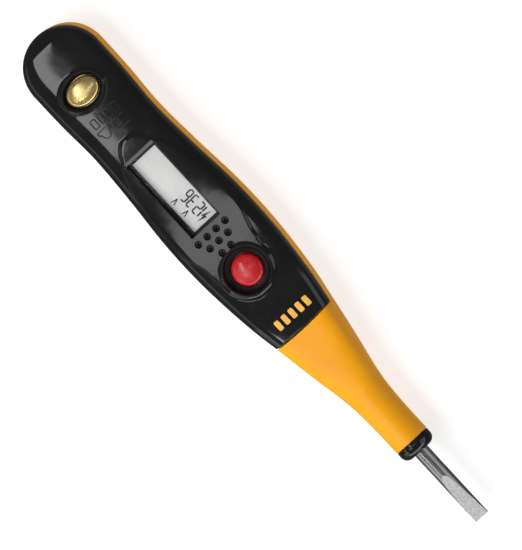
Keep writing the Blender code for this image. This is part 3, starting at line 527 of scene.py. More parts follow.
def with_rims(s, y, h):
    """Raises the surface to the rims of the contact's well and the button's bezel."""
    contact = oval_distance(s, y, CONTACT_S, CONTACT_RIM)
    bezel = np.hypot(s - BUTTON_S, y) - BEZEL_CREST
    for distance, rim, blend in ((contact, CONTACT_RIM_SIDE, 0.22), (bezel, BEZEL_SIDE, 0.25)):
        raised = soft_max(h, rim_height(distance, *rim), blend)
        h = np.where(np.abs(distance) < RIM_REACH, raised, h)
    return h


def cover_height(s, y):
    """Height of the cover's outside at a station and y, without the edge rounding."""
    s, y = np.broadcast_arrays(np.asarray(s, float), np.asarray(y, float))
    wide, high, _ = sizes(s, 0.0)
    n = curve_at(TOP_SHARPNESS, s)
    h = high * (1 - np.clip(np.abs(y) / wide, 0, 1) ** n) ** (1 / n)
    return with_rims(s, y, h + PANEL_RAISE * panel_share(s, y))


def cover_skin():
    """Closed upper half of the body, with the panel and rims raised and two edges rounded."""
    end, low = COVER_END - SEAM / 2, SEAM / 2
    stations = ring_stations(end, 0.2, 56)
    tail = end - EDGE * (1 - np.sin(QUARTER))
    stations = np.concatenate([stations[stations < end - EDGE - 0.05], tail])
    drop = np.clip((stations - (end - EDGE)) / EDGE, 0, 1)
    end_inset = EDGE * (1 - np.sqrt(1 - drop**2))
    edge_rows = []
    for angle in QUARTER:
        height = low + EDGE * (1 - math.cos(angle))
        inset = EDGE * (1 - math.sin(angle)) + end_inset
        y = side_at(stations, height, inset)
        edge_rows.append(np.stack([shifted(stations, inset), y, np.full(len(stations), height)], -1))
    wide, high, _ = sizes(stations, 0.0)
    first = angle_at(stations, low + EDGE, TOP_SHARPNESS, high)[:, None]
    angles = first + (math.pi - 2 * first) * np.linspace(0, 1, 152)[None, 1:-1]
    rows = [around([at], row, inset)[0] for at, row, inset in zip(stations, angles, end_inset)]
    s, y, h = np.moveaxis(np.array(rows), -1, 0)
    lift = PANEL_RAISE * panel_share(s, y)
    wide, high = wide[:, None], high[:, None]
    n = curve_at(TOP_SHARPNESS, stations)[:, None]
    out = np.sign(y) * (np.abs(y) / wide) ** (n - 1) / wide
    up = np.clip(h / high, 0, 1) ** (n - 1) / high
    length = np.hypot(out, up)
    y = y + lift * out / length
    h = with_rims(s, y, h + lift * up / length)
    left = np.stack(edge_rows, 1)
    right = (left * [1, -1, 1])[:, ::-1]
    grid = bow_end(np.concatenate([left, np.stack([s, y, h], -1), right], 1))
    return loft("cover_shell", grid, sharp=50)


def hole_tool(name, station, y):
    """Round dimple with a fine bore through its floor."""
    surface = float(cover_height(station, y))
    centre = surface - 0.1
    profile = [(HOLE_BORE, 1.0), (HOLE_BORE, centre - HOLE_DEPTH)]
    for degrees in range(-72, 1, 12):
        angle = math.radians(degrees)
        profile.append((HOLE_RADIUS * math.cos(angle), centre + HOLE_DEPTH * math.sin(angle)))
    profile += [(HOLE_RADIUS + 0.1, surface + 0.06), (HOLE_RADIUS + 0.3, surface + 1.5)]
    return turned(name, (station, y), profile, sides=28)


def hole_places():
    return [
        (station, (k - (count - 1) / 2) * HOLE_PITCH)
        for station, count in HOLE_ROWS
        for k in range(count)
    ]


def window_outlines():
    """Outer and inner outline of the window's lip, and how far each point is on the head's side."""
    back, front, half = APERTURE
    s0, s1 = DISPLAY_S + back, DISPLAY_S + front
    inner = rounded_rectangle(s0, s1, -half, half, 0.25, 6, 24)
    outer = rounded_rectangle(s0 - 0.72, s1 + 0.28, -half - 0.26, half + 0.26, 0.45, 6, 24)
    inner, outer = np.array(inner), np.array(outer)
    slant = smooth((s0 + 0.3 - inner[:, 0]) / 0.25)
    return outer, inner, slant


def window_lip():
    """Lip of the window opening: rounded edges, and a broad slant on the head's side."""
    outer, inner, slant = window_outlines()
    surface = cover_height(outer[:, 0], outer[:, 1])
    rings = []
    for turn in np.radians(np.linspace(0, 90, 7)):
        straight = turn / (math.pi / 2)
        move = (1 - slant) * math.sin(turn) + slant * straight
        fall = (1 - slant) * 0.27 * (1 - math.cos(turn)) + slant * 0.62 * straight
        place = outer + (inner - outer) * move[:, None]
        rings.append(np.column_stack([place, surface - 0.004 - fall]))
    buried = outer + (outer - inner) * 0.2
    floor = np.full(len(inner), 3.86)
    for place, level in ((inner, floor), (buried, floor), (buried, surface - 0.25)):
        rings.append(np.column_stack([place, level]))
    return loft("window_lip", rings, ring_loop=True, sharp=35)


def window_tool():
    outer, inner, _ = window_outlines()
    outline = inner + (outer - inner) * 0.97
    return prism("window_tool", outline, 1.0, 9.0)


def contact_well():
    """Smooth lip of the contact's well, from its crest down to the mouth round the brass."""
    top = CONTACT_RIM_SIDE[0]
    lip = [(0.3, 0.3, 3.2), (0.3, 0.3, 4.5)]
    lip += [(out, out, height) for out, height in rim_side(*CONTACT_RIM_SIDE)]
    lip += [(-0.09, -0.08, top - 0.02), (-0.19, -0.16, top - 0.1), (-0.28, -0.23, top - 0.26)]
    lip += [(-0.42, -0.34, 4.5), (-0.62, -0.5, 4.22), (-0.76, -0.6, 4.02), (-0.88, -0.7, 3.93)]
    profile = [(CONTACT_RIM[0] + a, CONTACT_RIM[1] + b, height) for a, b, height in lip]
    for gap, height in ((0.17, 3.85), (0.15, 3.75), (0.15, 3.2)):
        profile.append((CONTACT_HALF[0] + gap, CONTACT_HALF[1] + gap, height))
    return ovals("contact_well", (CONTACT_S, 0), profile, sides=128, ring_loop=True)


def button_bezel():
    """Round crest and concave dish about the button."""
    top, mouth, floor = BEZEL_SIDE[0], 3.85, 4.91
    lip = [(0.3, 3.0), (0.3, 4.3), *rim_side(*BEZEL_SIDE)]
    lip += [(-0.1, top - 0.015), (-0.2, top - 0.08), (-0.29, top - 0.2), (-0.38, top - 0.42)]
    profile = [(BEZEL_CREST + out, height) for out, height in lip]
    for degrees in range(10, 91, 10):
        angle = math.radians(degrees)
        radius = mouth + (BEZEL_CREST - 0.38 - mouth) * math.cos(angle)
        profile.append((radius, floor - math.sin(angle)))
    profile += [(3.76, 3.85), (3.74, 3.72), (3.74, 3.0)]
    return turned("button_bezel", (BUTTON_S, 0), profile, sides=144, ring_loop=True)


def cover_shell():
    """The black upper shell, hollow, with every opening."""
    shell = cover_skin()
    cavity = whole_body("cavity", WALL, COVER_END - WALL)
    well = [(CONTACT_RIM[0] + 0.1, CONTACT_RIM[1] + 0.1, height) for height in (1.0, 9.0)]
    bezel = [(BEZEL_CREST + 0.1, height) for height in (1.0, 9.0)]
    tools = [
        window_tool(),
        ovals("contact_tool", (CONTACT_S, 0), well, sides=128),
        turned("button_tool", (BUTTON_S, 0), bezel, sides=144),
    ]
    tools += [hole_tool(f"hole_{k}", *place) for k, place in enumerate(hole_places())]
    combine(shell, "DIFFERENCE", cavity, joined("openings", tools), sharp=35)
    post = turned("screw_post", (SCREW_S, 0), [(2.3, 0.1), (2.3, 3.9)], sides=32)
    combine(shell, "UNION", post, sharp=35)
    ends_of_chamber = [(COVER_END - 3, CHAMBER_RADIUS), (COVER_END + 3, CHAMBER_RADIUS)]
    chamber = lengthwise("chamber", ends_of_chamber, sides=48)
    pilot = turned("pilot", (SCREW_S, 0), [(1.1, -1.0), (1.1, 2.9)], sides=24)
    return combine(shell, "DIFFERENCE", chamber, pilot, sharp=35)


# ---------------------------------------------------------------- marks on the cover


SIGN_STROKES = {  # path, width and height of each raised line
    "finger": (
        [(26.75, 3.8), (26.75, 1.1), (26.45, 0.55), (25.9, 0.3)]
        + [(25.1, 0.3), (24.5, 0.55), (24.25, 1.1), (24.25, 3.8)],
        0.3,
        0.13,
    ),
    "nail": ([(26.1, 0.95), (26.0, 1.9), (25.0, 1.9), (24.9, 0.95)], 0.22, 0.1),
    "dome": (
        [(24.3, -3.9), (24.3, -0.75), (25.0, -0.75), (25.1, -1.2), (26.0, -1.45), (26.5, -2.0)]
        + [(26.5, -2.7), (26.0, -3.2), (25.1, -3.45), (25.0, -3.9), (24.3, -3.9)],
        0.3,
        0.13,
    ),
}


def stroke(name, path, width, height, sink=0.04):
    """Low raised line that follows the cover's surface."""
    path = np.array(path, float)
    ahead = np.gradient(path, axis=0)
    ahead /= np.linalg.norm(ahead, axis=1)[:, None] + 1e-12
    side = np.stack([-ahead[:, 1], ahead[:, 0]], -1)
    rings = []
    for degrees in (0, 30, 60, 90, 120, 150, 180):
        angle = math.radians(degrees)
        place = path + side * (width / 2 * math.cos(angle))
        level = cover_height(place[:, 0], place[:, 1]) + height * math.sin(angle)
        rings.append(np.column_stack([place, level - sink * (degrees in (0, 180))]))
    return loft(name, np.stack(rings, 1))


def fine(points, step=0.15):
    """Adds points along straight runs, so that a stroke follows the surface."""
    out = [points[0]]
    for (s0, y0), (s1, y1) in zip(points, points[1:]):
        count = max(1, math.ceil(math.dist((s0, y0), (s1, y1)) / step))
        for k in range(1, count + 1):
            out.append((s0 + (s1 - s0) * k / count, y0 + (y1 - y0) * k / count))
    return out


def pad(name, centre, halves, height, power, sink=0.05):
    """Low rounded block that follows the cover's surface."""
    angles = full_turn(48)
    c, s = np.cos(angles), np.sin(angles)
    unit = np.stack([np.sign(v) * np.abs(v) ** (2 / power) for v in (c, s)], -1)
    steps = [(1.0, -sink), (1.0, height * 0.5), (0.96, height * 0.9)]
    steps += [(share, height) for share in (0.88, 0.4, 0.05)]
    rings = []
    for share, lift in steps:
        place = np.array(centre) + unit * np.array(halves) * share
        rings.append(np.column_stack([place, cover_height(place[:, 0], place[:, 1]) + lift]))
    return loft(name, rings)


def touch_sign():
    """Raised sign between contact and display: four plain blocks, and a finger over a dome."""
    parts = []
    for k in range(4):
        y = -2.85 + 2.0 * k
        outline = rounded_rectangle(21.35, 23.45, y - 0.62, y + 0.62, 0.3, 4)
        parts.append(stroke(f"block_{k}", fine(outline + outline[:1]), 0.3, 0.13))
    for name, (path, width, height) in SIGN_STROKES.items():
        parts.append(stroke(name, fine(path), width, height))
    return joined("touch_sign", parts)


def printed_bars():
    """Plain printed stripes across the cover near its front edge."""
    places = [(80.5, 0.95 + (k - 2) * 2.05) for k in range(5)]
    bars = [pad(f"bar_{k}", at, (1.17, 0.62), 0.016, 6.0) for k, at in enumerate(places)]
    return joined("printed_bars", bars)


# ---------------------------------------------------------------- rear housing


def housing_skin():
    """Closed lower half of the body that opens into the full round nose at the cover's front edge."""
    step_s, tip_s = COVER_END + SEAM / 2, NOSE_END - EDGE
    grid = [housing_ring(s, 0.0, 0.0, False) for s in ring_stations(step_s, 0.35, 48)]
    edge = step_s + EDGE * (1 - np.cos(QUARTER))
    tip = tip_s + EDGE * np.sin(QUARTER)
    for s in np.concatenate([edge, np.arange(step_s + 0.5, tip_s - 0.1, 0.35), tip]):
        from_step = np.clip((s - step_s) / EDGE, 0, 1)
        top_inset = EDGE - EDGE * math.sqrt(1 - (1 - from_step) ** 2)
        to_tip = np.clip((s - tip_s) / EDGE, 0, 1)
        tip_inset = EDGE - EDGE * math.sqrt(1 - to_tip**2)
        grid.append(housing_ring(s, top_inset, tip_inset, True))
    return loft("housing_shell", bow_end(np.array(grid)), sharp=50)


def housing_ring(station, top_inset, tip_inset, full):
    """Ring of the housing: down the +Y edge, under the back, up the -Y edge and back over the top."""
    at = np.array([station])
    low = SEAM / 2
    edge = []
    for angle in QUARTER:
        height = low + EDGE * (1 - math.cos(angle))
        inset = tip_inset + (0.0 if full else EDGE * (1 - math.sin(angle)))
        y = float(side_at(at, height, inset, top=False)[0])
        edge.append((float(shifted(at, inset)[0]), y, -height))
    deep = sizes(at, tip_inset)[2]
    first = float(angle_at(at, low + EDGE, BACK_SHARPNESS, deep)[0])
    angles = -(first + (math.pi - 2 * first) * np.linspace(0, 1, 112)[1:-1])
    under = around(at, angles, tip_inset)[0]
    mirrored = [(s, -y, h) for s, y, h in reversed(edge)]
    over_angles = math.pi * (1 - np.linspace(0, 1, 82)[1:-1])
    if full:
        over = around(at, over_angles, max(top_inset, tip_inset))[0]
    else:
        y = abs(edge[0][1]) * np.cos(over_angles) * 0.98
        over = np.stack([np.full(80, edge[0][0]), y, np.full(80, -low)], -1)
    return np.concatenate([edge, under, mirrored, over])


def housing_shell():
    """The amber lower shell with its nose, hollow, with guides, walls, boss and the battery opening."""
    shell = housing_skin()
    combine(shell, "DIFFERENCE", whole_body("cavity", WALL, COVER_END - WALL), sharp=35)
    under_board, floor = -1.15, 0.9 + BACK
    boxes = [
        ((5.2, -6.4, floor), (30.0, -4.3, under_board)),
        ((5.2, 4.3, floor), (30.0, 6.4, under_board)),
        ((8.9, -4.7, 2.0 + BACK), (8.9 + 1.1, 4.7, under_board - 0.2)),
        ((27.6, -4.7, 2.0 + BACK), (27.6 + 1.1, 4.7, under_board - 0.2)),
        ((61.0, -7.2, floor), (62.2, 7.2, under_board)),
    ]
    ribs = [rounded_box(f"rib_{k}", low, high, 0.12) for k, (low, high) in enumerate(boxes)]
    boss = [(3.0, floor), (3.0, under_board), (2.3, under_board + 0.05), (2.3, -SEAM / 2)]
    ribs.append(turned("boss", (SCREW_S, 0), boss, sides=48))
    combine(shell, "UNION", *ribs, sharp=35)
    bores = [
        lengthwise(name, [(start, radius), (end, radius)], sides=64)
        for name, start, end, radius in (
            ("chamber", COVER_END - 3, 102.4, CHAMBER_RADIUS),
            ("bore", 101.4, NOSE_END + 1, 2.5),
            ("spigot", 114.0, NOSE_END + 1, 3.25),
        )
    ]
    hole = [(1.1, 1.0), (1.1, 1.7 + BACK), (2.05, 1.7 + BACK), (2.05, 0.15 + BACK)]
    hole += [(2.3, -0.1 + BACK), (2.3, -1 + BACK)]
    screw_hole = turned("screw_hole", (SCREW_S, 0), hole, sides=48)
    combine(shell, "DIFFERENCE", *bores, screw_hole, sharp=35)
    return combine(shell, "DIFFERENCE", *door_tools(), sharp=35)


def door_tools():
    """Opening for the door with a slightly flared edge, and the grooves for its tongues."""
    steps = [(0.2, -1.0 + BACK), (0.2, BACK), (0.0, 0.2 + BACK), (0.0, 2.3 + BACK)]
    opening = stepped("door_opening", PAST_HEAD, 30.75, 5.0, steps)
    grooves = prism("door_grooves", rectangle(PAST_HEAD, 29.0, 6.0), 1.0 + BACK, 1.9 + BACK)
    return [opening, grooves]


def door():
    """Back plate that follows the body's outside, with low walls, tongues and thumb grooves."""
    plate = whole_body("hatch_plate", 0.0, 40.0, step=0.8, head_steps=48, rows=220)
    steps = [(-0.2, -0.2 + BACK), (-0.2, BACK), (0.0, 0.2 + BACK), (0.0, 2.1 + BACK)]
    combine(plate, "INTERSECT", stepped("zone", PAST_HEAD, 30.6, 4.85, steps))
    inside = prism("inside", rectangle(2.6, 31.6, 4.15), 1.2 + BACK, 5 + BACK)
    combine(plate, "DIFFERENCE", inside)
    sides = ((-5.85, -4.4), (4.4, 5.85))
    tongues = [
        rounded_box(f"tongue_{y0}", (6.0, y0, 1.15 + BACK), (28.6, y1, 1.75 + BACK), 0.12)
        for y0, y1 in sides
    ]
    combine(plate, "UNION", *tongues)
    turn = full_turn(20)
    grooves = []
    for k in range(5):
        rings = []
        for y, radius in THUMB_GROOVE:
            s = 6.35 + 1.6 * k + radius * np.cos(turn)
            rings.append(np.stack([s, np.full(20, y), BACK - 0.07 + radius * np.sin(turn)], -1))
        grooves.append(loft(f"groove_{k}", rings))
    return combine(plate, "DIFFERENCE", joined("grooves", grooves))


# ---------------------------------------------------------------- nose, blade, buttons and display


def collar():
    """Black ring at the nose's end: spigot, edge and rounded front with a fine inner lip."""
    front, rounding, radius, spigot = 120.8, 1.75, 4.2, 3.1
    profile = [(114.2, 2.5), (114.2, spigot), (117.9, spigot)]
    profile += [(117.9, radius - 0.12), (117.94, radius - 0.04), (118.02, radius)]
    for angle in [math.radians(degrees) for degrees in range(0, 91, 6)]:
        s = front - rounding + rounding * math.sin(angle)
        profile.append((s, radius - rounding + rounding * math.cos(angle)))
    profile += [(front - 0.1, 2.36), (front - 0.3, 2.34), (front - 0.6, 2.5)]
    return lengthwise("front_ring", profile, sides=128, ring_loop=True)


def sleeve(start, outer):
    """Insulating tube around the shank, which ends just inside the collar's mouth."""
    inner, end, chamfer = BLADE_RADIUS + 0.02, 120.55, 0.1
    profile = [(start, inner), (start, outer - chamfer), (start + chamfer, outer)]
    profile += [(end - chamfer, outer), (end, outer - chamfer), (end, inner)]
    return lengthwise("insulating_sleeve", profile, ring_loop=True)


def blade():
    """Nickel bar with two ground flats that start in a blunt round end."""
    start = 100.7
    profile = [(start, 2.5), (start + 0.2, 2.7), (start + 1.4, 2.7), (start + 1.4, BLADE_RADIUS)]
    profile += [(TIP_S - 0.05, BLADE_RADIUS), (TIP_S, BLADE_RADIUS - 0.05)]
    bar = lengthwise("tester_blade", profile, sides=160)
    for side in (-1, 1):
        combine(bar, "DIFFERENCE", flat_tool(side), sharp=25)
    return bar


def flat_tool(side):
    """Wedge with a round start, that grinds one flat."""
    nose, begin, shoulder = 0.74, 127.85, 129.6
    turn = [math.radians(degrees) for degrees in range(80, -81, -8)]
    outline = [(142.0, -3.0), (142.0, 3.0), (shoulder, 3.0)]
    outline += [(begin + nose - nose * math.cos(a), nose * math.sin(a)) for a in turn]
    outline += [(shoulder, -3.0)]
    (s0, h0), (s1, h1) = FLAT
    plane = [h0 + (s - s0) * (h1 - h0) / (s1 - s0) for s, _ in outline]
    rings = [
        [(s, y, side * h) for (s, y), h in zip(outline, plane)],
        [(s, y, side * 4.0) for s, y in outline],
    ]
    return loft(f"flat_{side}", rings)


def dome_profile(half_x, half_y, shoulder, top, power, steps=26):
    """Ovals of a pillow-like dome, from the shoulder's edge in to a tiny middle."""
    rings = []
    for k in range(steps + 1):
        angle = math.pi / 2 * k / steps
        share = max(max(math.cos(angle), 0.0) ** (2 / power), 0.004)
        height = shoulder + (top - shoulder) * math.sin(angle) ** (2 / power)
        rings.append((half_x * share, half_y * share, height))
    return rings


def contact():
    """Brass dome over the flange that holds it in."""
    x, y = CONTACT_HALF
    base, top = levels("test_contact")
    flange = (x + 0.7, y + 0.7)
    profile = [(*flange, base), (*flange, base + 0.55), (x, y, base + 0.56)]
    profile += dome_profile(x, y, 4.05, top, 2.5)
    return ovals("contact_dome", (CONTACT_S, 0), profile, sides=144)


def push_button():
    """Red dome over the flange that holds it in."""
    base, top = levels("red_button")
    r = BUTTON_RADIUS
    profile = [(r + 0.75, base), (r + 0.75, base + 0.6), (r, base + 0.61)]
    profile += [(a, h) for a, _, h in dome_profile(r, r, 3.95, top, 2.15)]
    return turned("button_dome", (BUTTON_S, 0), profile, sides=144)


def coil(name, centre, radius, wire, low, high, turns):
    """Upright coil spring of round wire."""
    count = turns * 40
    turn = np.linspace(0, math.tau * turns, count)
    mid = np.stack([np.cos(turn), np.sin(turn)], -1)
    level = np.linspace(low + wire, high - wire, count)
    rings = []
    for angle in [math.tau * k / 10 for k in range(10)]:
        place = np.array(centre) + (radius - wire + wire * math.cos(angle)) * mid
        rings.append(np.column_stack([place, level + wire * math.sin(angle)]))
    return loft(name, np.stack(rings, 1))


def bar_between(a, b, width, pointed=True):
    """Outline of a straight stroke, with pointed ends as on a segment display."""
    a, b = np.array(a, float), np.array(b, float)
    ahead = (b - a) / np.linalg.norm(b - a)
    side = np.array([-ahead[1], ahead[0]]) * width / 2
    if not pointed:
        return [a - side, b - side, b + side, a + side]
    point = ahead * width / 2
    return [a, a + point - side, b - point - side, b, b - point + side, a + point + side]


SEGMENTS = {  # ends of each segment in a cell one wide and two high
    "top": ((0, 2), (1, 2)),
    "middle": ((0, 1), (1, 1)),
    "bottom": ((0, 0), (1, 0)),
    "upper_left": ((0, 1), (0, 2)),
    "upper_right": ((1, 1), (1, 2)),
    "lower_left": ((0, 0), (0, 1)),
    "lower_right": ((1, 0), (1, 1)),
}
DIGITS = {
    "1": ("upper_right", "lower_right"),
    "2": ("top", "upper_right", "middle", "lower_left", "bottom"),
    "3": ("top", "upper_right", "middle", "lower_right", "bottom"),
    "6": ("top", "upper_left", "middle", "lower_left", "lower_right", "bottom"),
}


def display_marks():
    """Voltage steps 12 and 36, a flash and two pointers, read with the blade to the left."""
    top_y, bottom_y = -0.55, 2.6
    outlines = []
    for digit, left, width in (("1", 52.0, 0.5), ("2", 50.95, 1.05), ("3", 49.0, 1.0), ("6", 47.4, 1.0)):
        for segment in DIGITS[digit]:
            bar = [
                (left - across * width, bottom_y + (top_y - bottom_y) * up / 2)
                for across, up in SEGMENTS[segment]
            ]
            outlines.append(bar_between(*bar, 0.38))
    outlines.append([(52.8, 2.8), (51.9, 0.4), (52.38, 0.4), (52.32, -1.4), (53.05, 1.0), (52.6, 1.0)])
    for s in (46.0, 49.35):
        for reach in (-0.42, 0.42):
            outlines.append(bar_between((s, -1.05), (s + reach, -2.6), 0.27, pointed=False))
    low, high = LCD_TOP + 0.012, LCD_TOP + 0.04
    marks = [prism(f"mark_{k}", outline, low, high) for k, outline in enumerate(outlines)]
    return joined("display_marks", marks)


def display_parts():
    """Glass of the display with its polariser, and the clear pane."""
    s0, s1 = ends("lcd_panel")
    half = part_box("lcd_panel")[1].y / MM
    base, _ = levels("lcd_panel")
    glass = rounded_box("lcd_glass", (s0, -half, base), (s1, half, LCD_TOP - 0.1), 0.08)
    near, far = (s0 + 0.5, -half + 0.5, LCD_TOP - 0.12), (s1 - 0.5, half - 0.5, LCD_TOP)
    film = rounded_box("lcd_film", near, far, 0.03)
    base, top = levels("display_window")
    return glass, film, rounded_box("window_pane", (s0, -half, base), (s1, half, top), 0.06)


def gasket():
    """Dark frame that edges the visible glass."""
    s0, s1 = ends("display_gasket")
    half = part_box("display_gasket")[1].y / MM
    base, top = levels("display_gasket")
    base -= 0.08
    outer = rounded_rectangle(s0, s1, -half, half, 0.2, 4)
    inner = rounded_rectangle(DISPLAY_S - 9.65, DISPLAY_S + 9.85, -3.3, 3.35, 0.15, 4)
    corners = ((outer, base), (outer, top), (inner, top), (inner, base))
    rings = [[(s, y, height) for s, y in outline] for outline, height in corners]
    return loft("display_frame", rings, ring_loop=True)


def screw(name, centre, head, shank, low, head_top, tip):
    """Pan-head screw with a cross recess; its head faces down."""
    profile = [(head * 0.55, low), (head * 0.82, low + 0.08), (head * 0.96, low + 0.3)]
    profile += [(head, low + 0.6), (head, head_top), (shank, head_top + 0.02)]
    for k in range(int((tip - head_top) / THREAD_PITCH)):
        level = head_top + 0.15 + k * THREAD_PITCH
        profile += [(shank * 0.82, level), (shank, level + 0.12)]
    profile += [(shank * 0.3, tip)]
    body = turned(name, centre, profile, sides=48, sharp=30)
    arm, half = head * 0.52, head * 0.13
    cross = [(arm, -half), (arm, half), (half, half), (half, arm), (-half, arm), (-half, half)]
    cross += [(-s, -y) for s, y in cross]
    rings = []
    for scale, level in ((1.1, low - 0.5), (1.0, low), (0.6, low + 0.75)):
        rings.append([(centre[0] + s * scale, centre[1] + y * scale, level) for s, y in cross])
    return combine(body, "DIFFERENCE", loft("cross", rings), sharp=30)


def cell(name, node):
    """Button cell: can with a rounded edge, sealing ring and raised cap."""
    low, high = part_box(node)
    base, top = levels(node)
    r = (high.x - low.x) / 2 / MM
    can = [(0.45, 0.0), (0.2, 0.06), (0.05, 0.2), (0.0, 0.45)]
    cap = [(0.0, 0.75), (0.08, 0.55), (0.3, 0.45), (0.42, 0.5), (0.55, 0.5), (0.62, 0.2)]
    cap += [(0.8, 0.0), (1.2, 0.0)]
    profile = [(r - inset, base + rise) for inset, rise in can]
    profile += [(r - inset, top - drop) for inset, drop in cap]
    return turned(name, spot(node), [*profile, (0.05, top)], sides=96)


# ---------------------------------------------------------------- materials


EDGE_WEAR_AND_HIGHLIGHT = 0.3  # mm of an edge that the wear and the painted edge highlight reach


class Look:
    """A Principled material with helpers for the textures that drive it."""

    def __init__(self, name):
        self.material = bpy.data.materials.new(name)
        self.material.use_nodes = True
        self.tree = self.material.node_tree
        self.shader = self.tree.nodes["Principled BSDF"]
        self.place = self.tree.nodes.new("ShaderNodeTexCoord").outputs["Object"]

    def put(self, socket, value):
        """Links a socket or sets its value; a colour of three numbers becomes opaque."""
        if isinstance(value, bpy.types.NodeSocket):
            self.tree.links.new(value, socket)
        else:
            socket.default_value = (*value, 1.0) if socket.type == "RGBA" else value

    def set(self, **values):
        for key, value in values.items():
            self.put(self.shader.inputs[key.replace("_", " ")], value)
        return self

    def node(self, kind, **inputs):
        node = self.tree.nodes.new(kind)
        for key, value in inputs.items():
            self.put(node.inputs[key.replace("_", " ")], value)
        return node

    def noise(self, size, detail=3.0, roughness=0.55, stretch=(1, 1, 1)):
        """Noise with features of about size millimetres, from 0 to 1."""
        vector = self.node("ShaderNodeMapping", Vector=self.place, Scale=stretch).outputs["Vector"]
        values = {"Scale": 1 / (size * MM), "Detail": detail, "Roughness": roughness}
        return self.node("ShaderNodeTexNoise", Vector=vector, **values).outputs["Fac"]

    def ranged(self, value, start, stop, low=0.0, high=1.0):
        node = self.node("ShaderNodeMapRange", Value=value)
        for socket, number in zip(node.inputs[1:5], (start, stop, low, high)):
            socket.default_value = number
        return node.outputs["Result"]

    def spread(self, noise, low=0.0, high=1.0):
        """The usual range of a noise, stretched from low to high."""
        return self.ranged(noise, 0.3, 0.7, low, high)

    def maths(self, operation, a, b):
        node = self.tree.nodes.new("ShaderNodeMath")
        node.operation = operation
        self.put(node.inputs[0], a)
        self.put(node.inputs[1], b)
        return node.outputs[0]

    def weighed(self, *pairs):
        """Sum of two values with their weights."""
        return self.maths("ADD", *[self.maths("MULTIPLY", *pair) for pair in pairs])

    def blend(self, factor, low, high):
        """Colour between two colours."""
        node = self.tree.nodes.new("ShaderNodeMix")
        node.data_type = "RGBA"
        for place, value in ((0, factor), (6, low), (7, high)):
            self.put(node.inputs[place], value)
        return node.outputs[2]

    def colour(self, value, dark, light, *spots):
        """Base colour between dark and light, under (mask, strength, colour) spots."""
        base = self.blend(value, dark, light)
        for mask, strength, spot_colour in spots:
            base = self.blend(self.maths("MULTIPLY", mask, strength), base, spot_colour)
        return self.set(Base_Color=base)

    def rough(self, first, *others):
        """Roughness as a sum."""
        for value in others:
            first = self.maths("ADD", first, value)
        return self.set(Roughness=first)

    def bump(self, *layers):
        """Bump from (texture value, depth in millimetres) layers."""
        normal = {}
        for value, depth in layers:
            node = self.node("ShaderNodeBump", Strength=1.0, Distance=depth * MM, Height=value, **normal)
            normal = {"Normal": node.outputs["Normal"]}
        return self.set(**normal)

    def worn_highlit_edges(self, clouds):
        """1 along edges, in patches, and 0 on open surface: edge wear and a painted edge highlight."""
        bevel = self.node("ShaderNodeBevel", Radius=EDGE_WEAR_AND_HIGHLIGHT * MM)
        geometry = self.tree.nodes.new("ShaderNodeNewGeometry")
        dot = self.tree.nodes.new("ShaderNodeVectorMath")
        dot.operation = "DOT_PRODUCT"
        self.put(dot.inputs[0], bevel.outputs["Normal"])
        self.put(dot.inputs[1], geometry.outputs["Normal"])
        edges = self.ranged(dot.outputs["Value"], 0.995, 0.9)
        return self.maths("MULTIPLY", edges, self.ranged(clouds, 0.42, 0.62))


def grey(value):
    return (value, value, value)


def plastic(name, dark, light, rough, mottle, grain, depth, **values):
    """Moulded plastic: slow colour and gloss variation, and a fine surface grain."""
    look = Look(name)
    slow, fine_grain = look.noise(mottle, 4.0), look.noise(grain, 2.0)
    look.colour(look.ranged(slow, 0.35, 0.65), dark, light)
    look.rough(look.spread(slow, *rough), look.spread(fine_grain, -0.02, 0.02))
    look.bump((look.noise(mottle * 0.4, 2.0), depth * 0.8), (fine_grain, depth))
    return look.set(**values).material


def metal(name, dark, light, rough, grain):
    """Metal with a fine grain and handling marks."""
    look = Look(name)
    marks, clouds = look.noise(grain, 4.0, 0.6), look.noise(3.0, 3.0)
    look.colour(look.spread(clouds), dark, light)
    look.rough(look.spread(marks, *rough), look.spread(clouds, -0.03, 0.03))
    look.bump((marks, 0.002))
    return look.set(Metallic=1.0).material


def black_gloss():
    """Polished black plastic: orange-peel waves, hairline swirls and dust in the gloss."""
    look = Look("black_gloss_plastic")
    slow = look.noise(7.0, 4.0)
    hair = look.noise(0.12, 3.0, 0.6, (0.06, 1.0, 1.0))
    dust = look.ranged(look.noise(0.35, 2.0), 0.62, 0.75)
    # The edge mask lightens the black along edges in patches: edge wear and a painted edge highlight.
    spots = [(dust, 0.25, (0.035, 0.034, 0.033)), (look.worn_highlit_edges(slow), 0.6, grey(0.05))]
    look.colour(look.spread(slow), grey(0.006), grey(0.01), *spots)
    gloss = look.spread(slow, 0.035, 0.07)
    look.rough(gloss, look.maths("MULTIPLY", dust, 0.08), look.ranged(hair, 0.35, 0.65, -0.01, 0.02))
    look.bump((look.noise(2.4, 1.5), 0.004), (hair, 0.0004))
    return look.set(Specular_IOR_Level=0.5, IOR=1.52).material


def amber_satin():
    """Satin amber plastic with a fine moulded grain."""
    look = Look("amber_satin_plastic")
    slow, grain = look.noise(9.0, 4.0), look.noise(0.13, 2.0)
    specks = look.ranged(look.noise(0.5, 1.0), 0.68, 0.74)
    # The edge mask pales the amber along edges in patches: edge wear and a painted edge highlight.
    spots = [(specks, 0.25, (0.55, 0.18, 0.002)), (look.worn_highlit_edges(slow), 0.5, (1.0, 0.55, 0.08))]
    look.colour(look.spread(slow), (0.93, 0.365, 0.0), (0.98, 0.41, 0.0005), *spots)
    look.rough(look.spread(slow, 0.34, 0.42), look.spread(grain, -0.05, 0.05))
    look.bump((look.noise(3.0, 1.5), 0.006), (grain, 0.0035))
    return look.set(Specular_IOR_Level=0.22, IOR=1.5).material


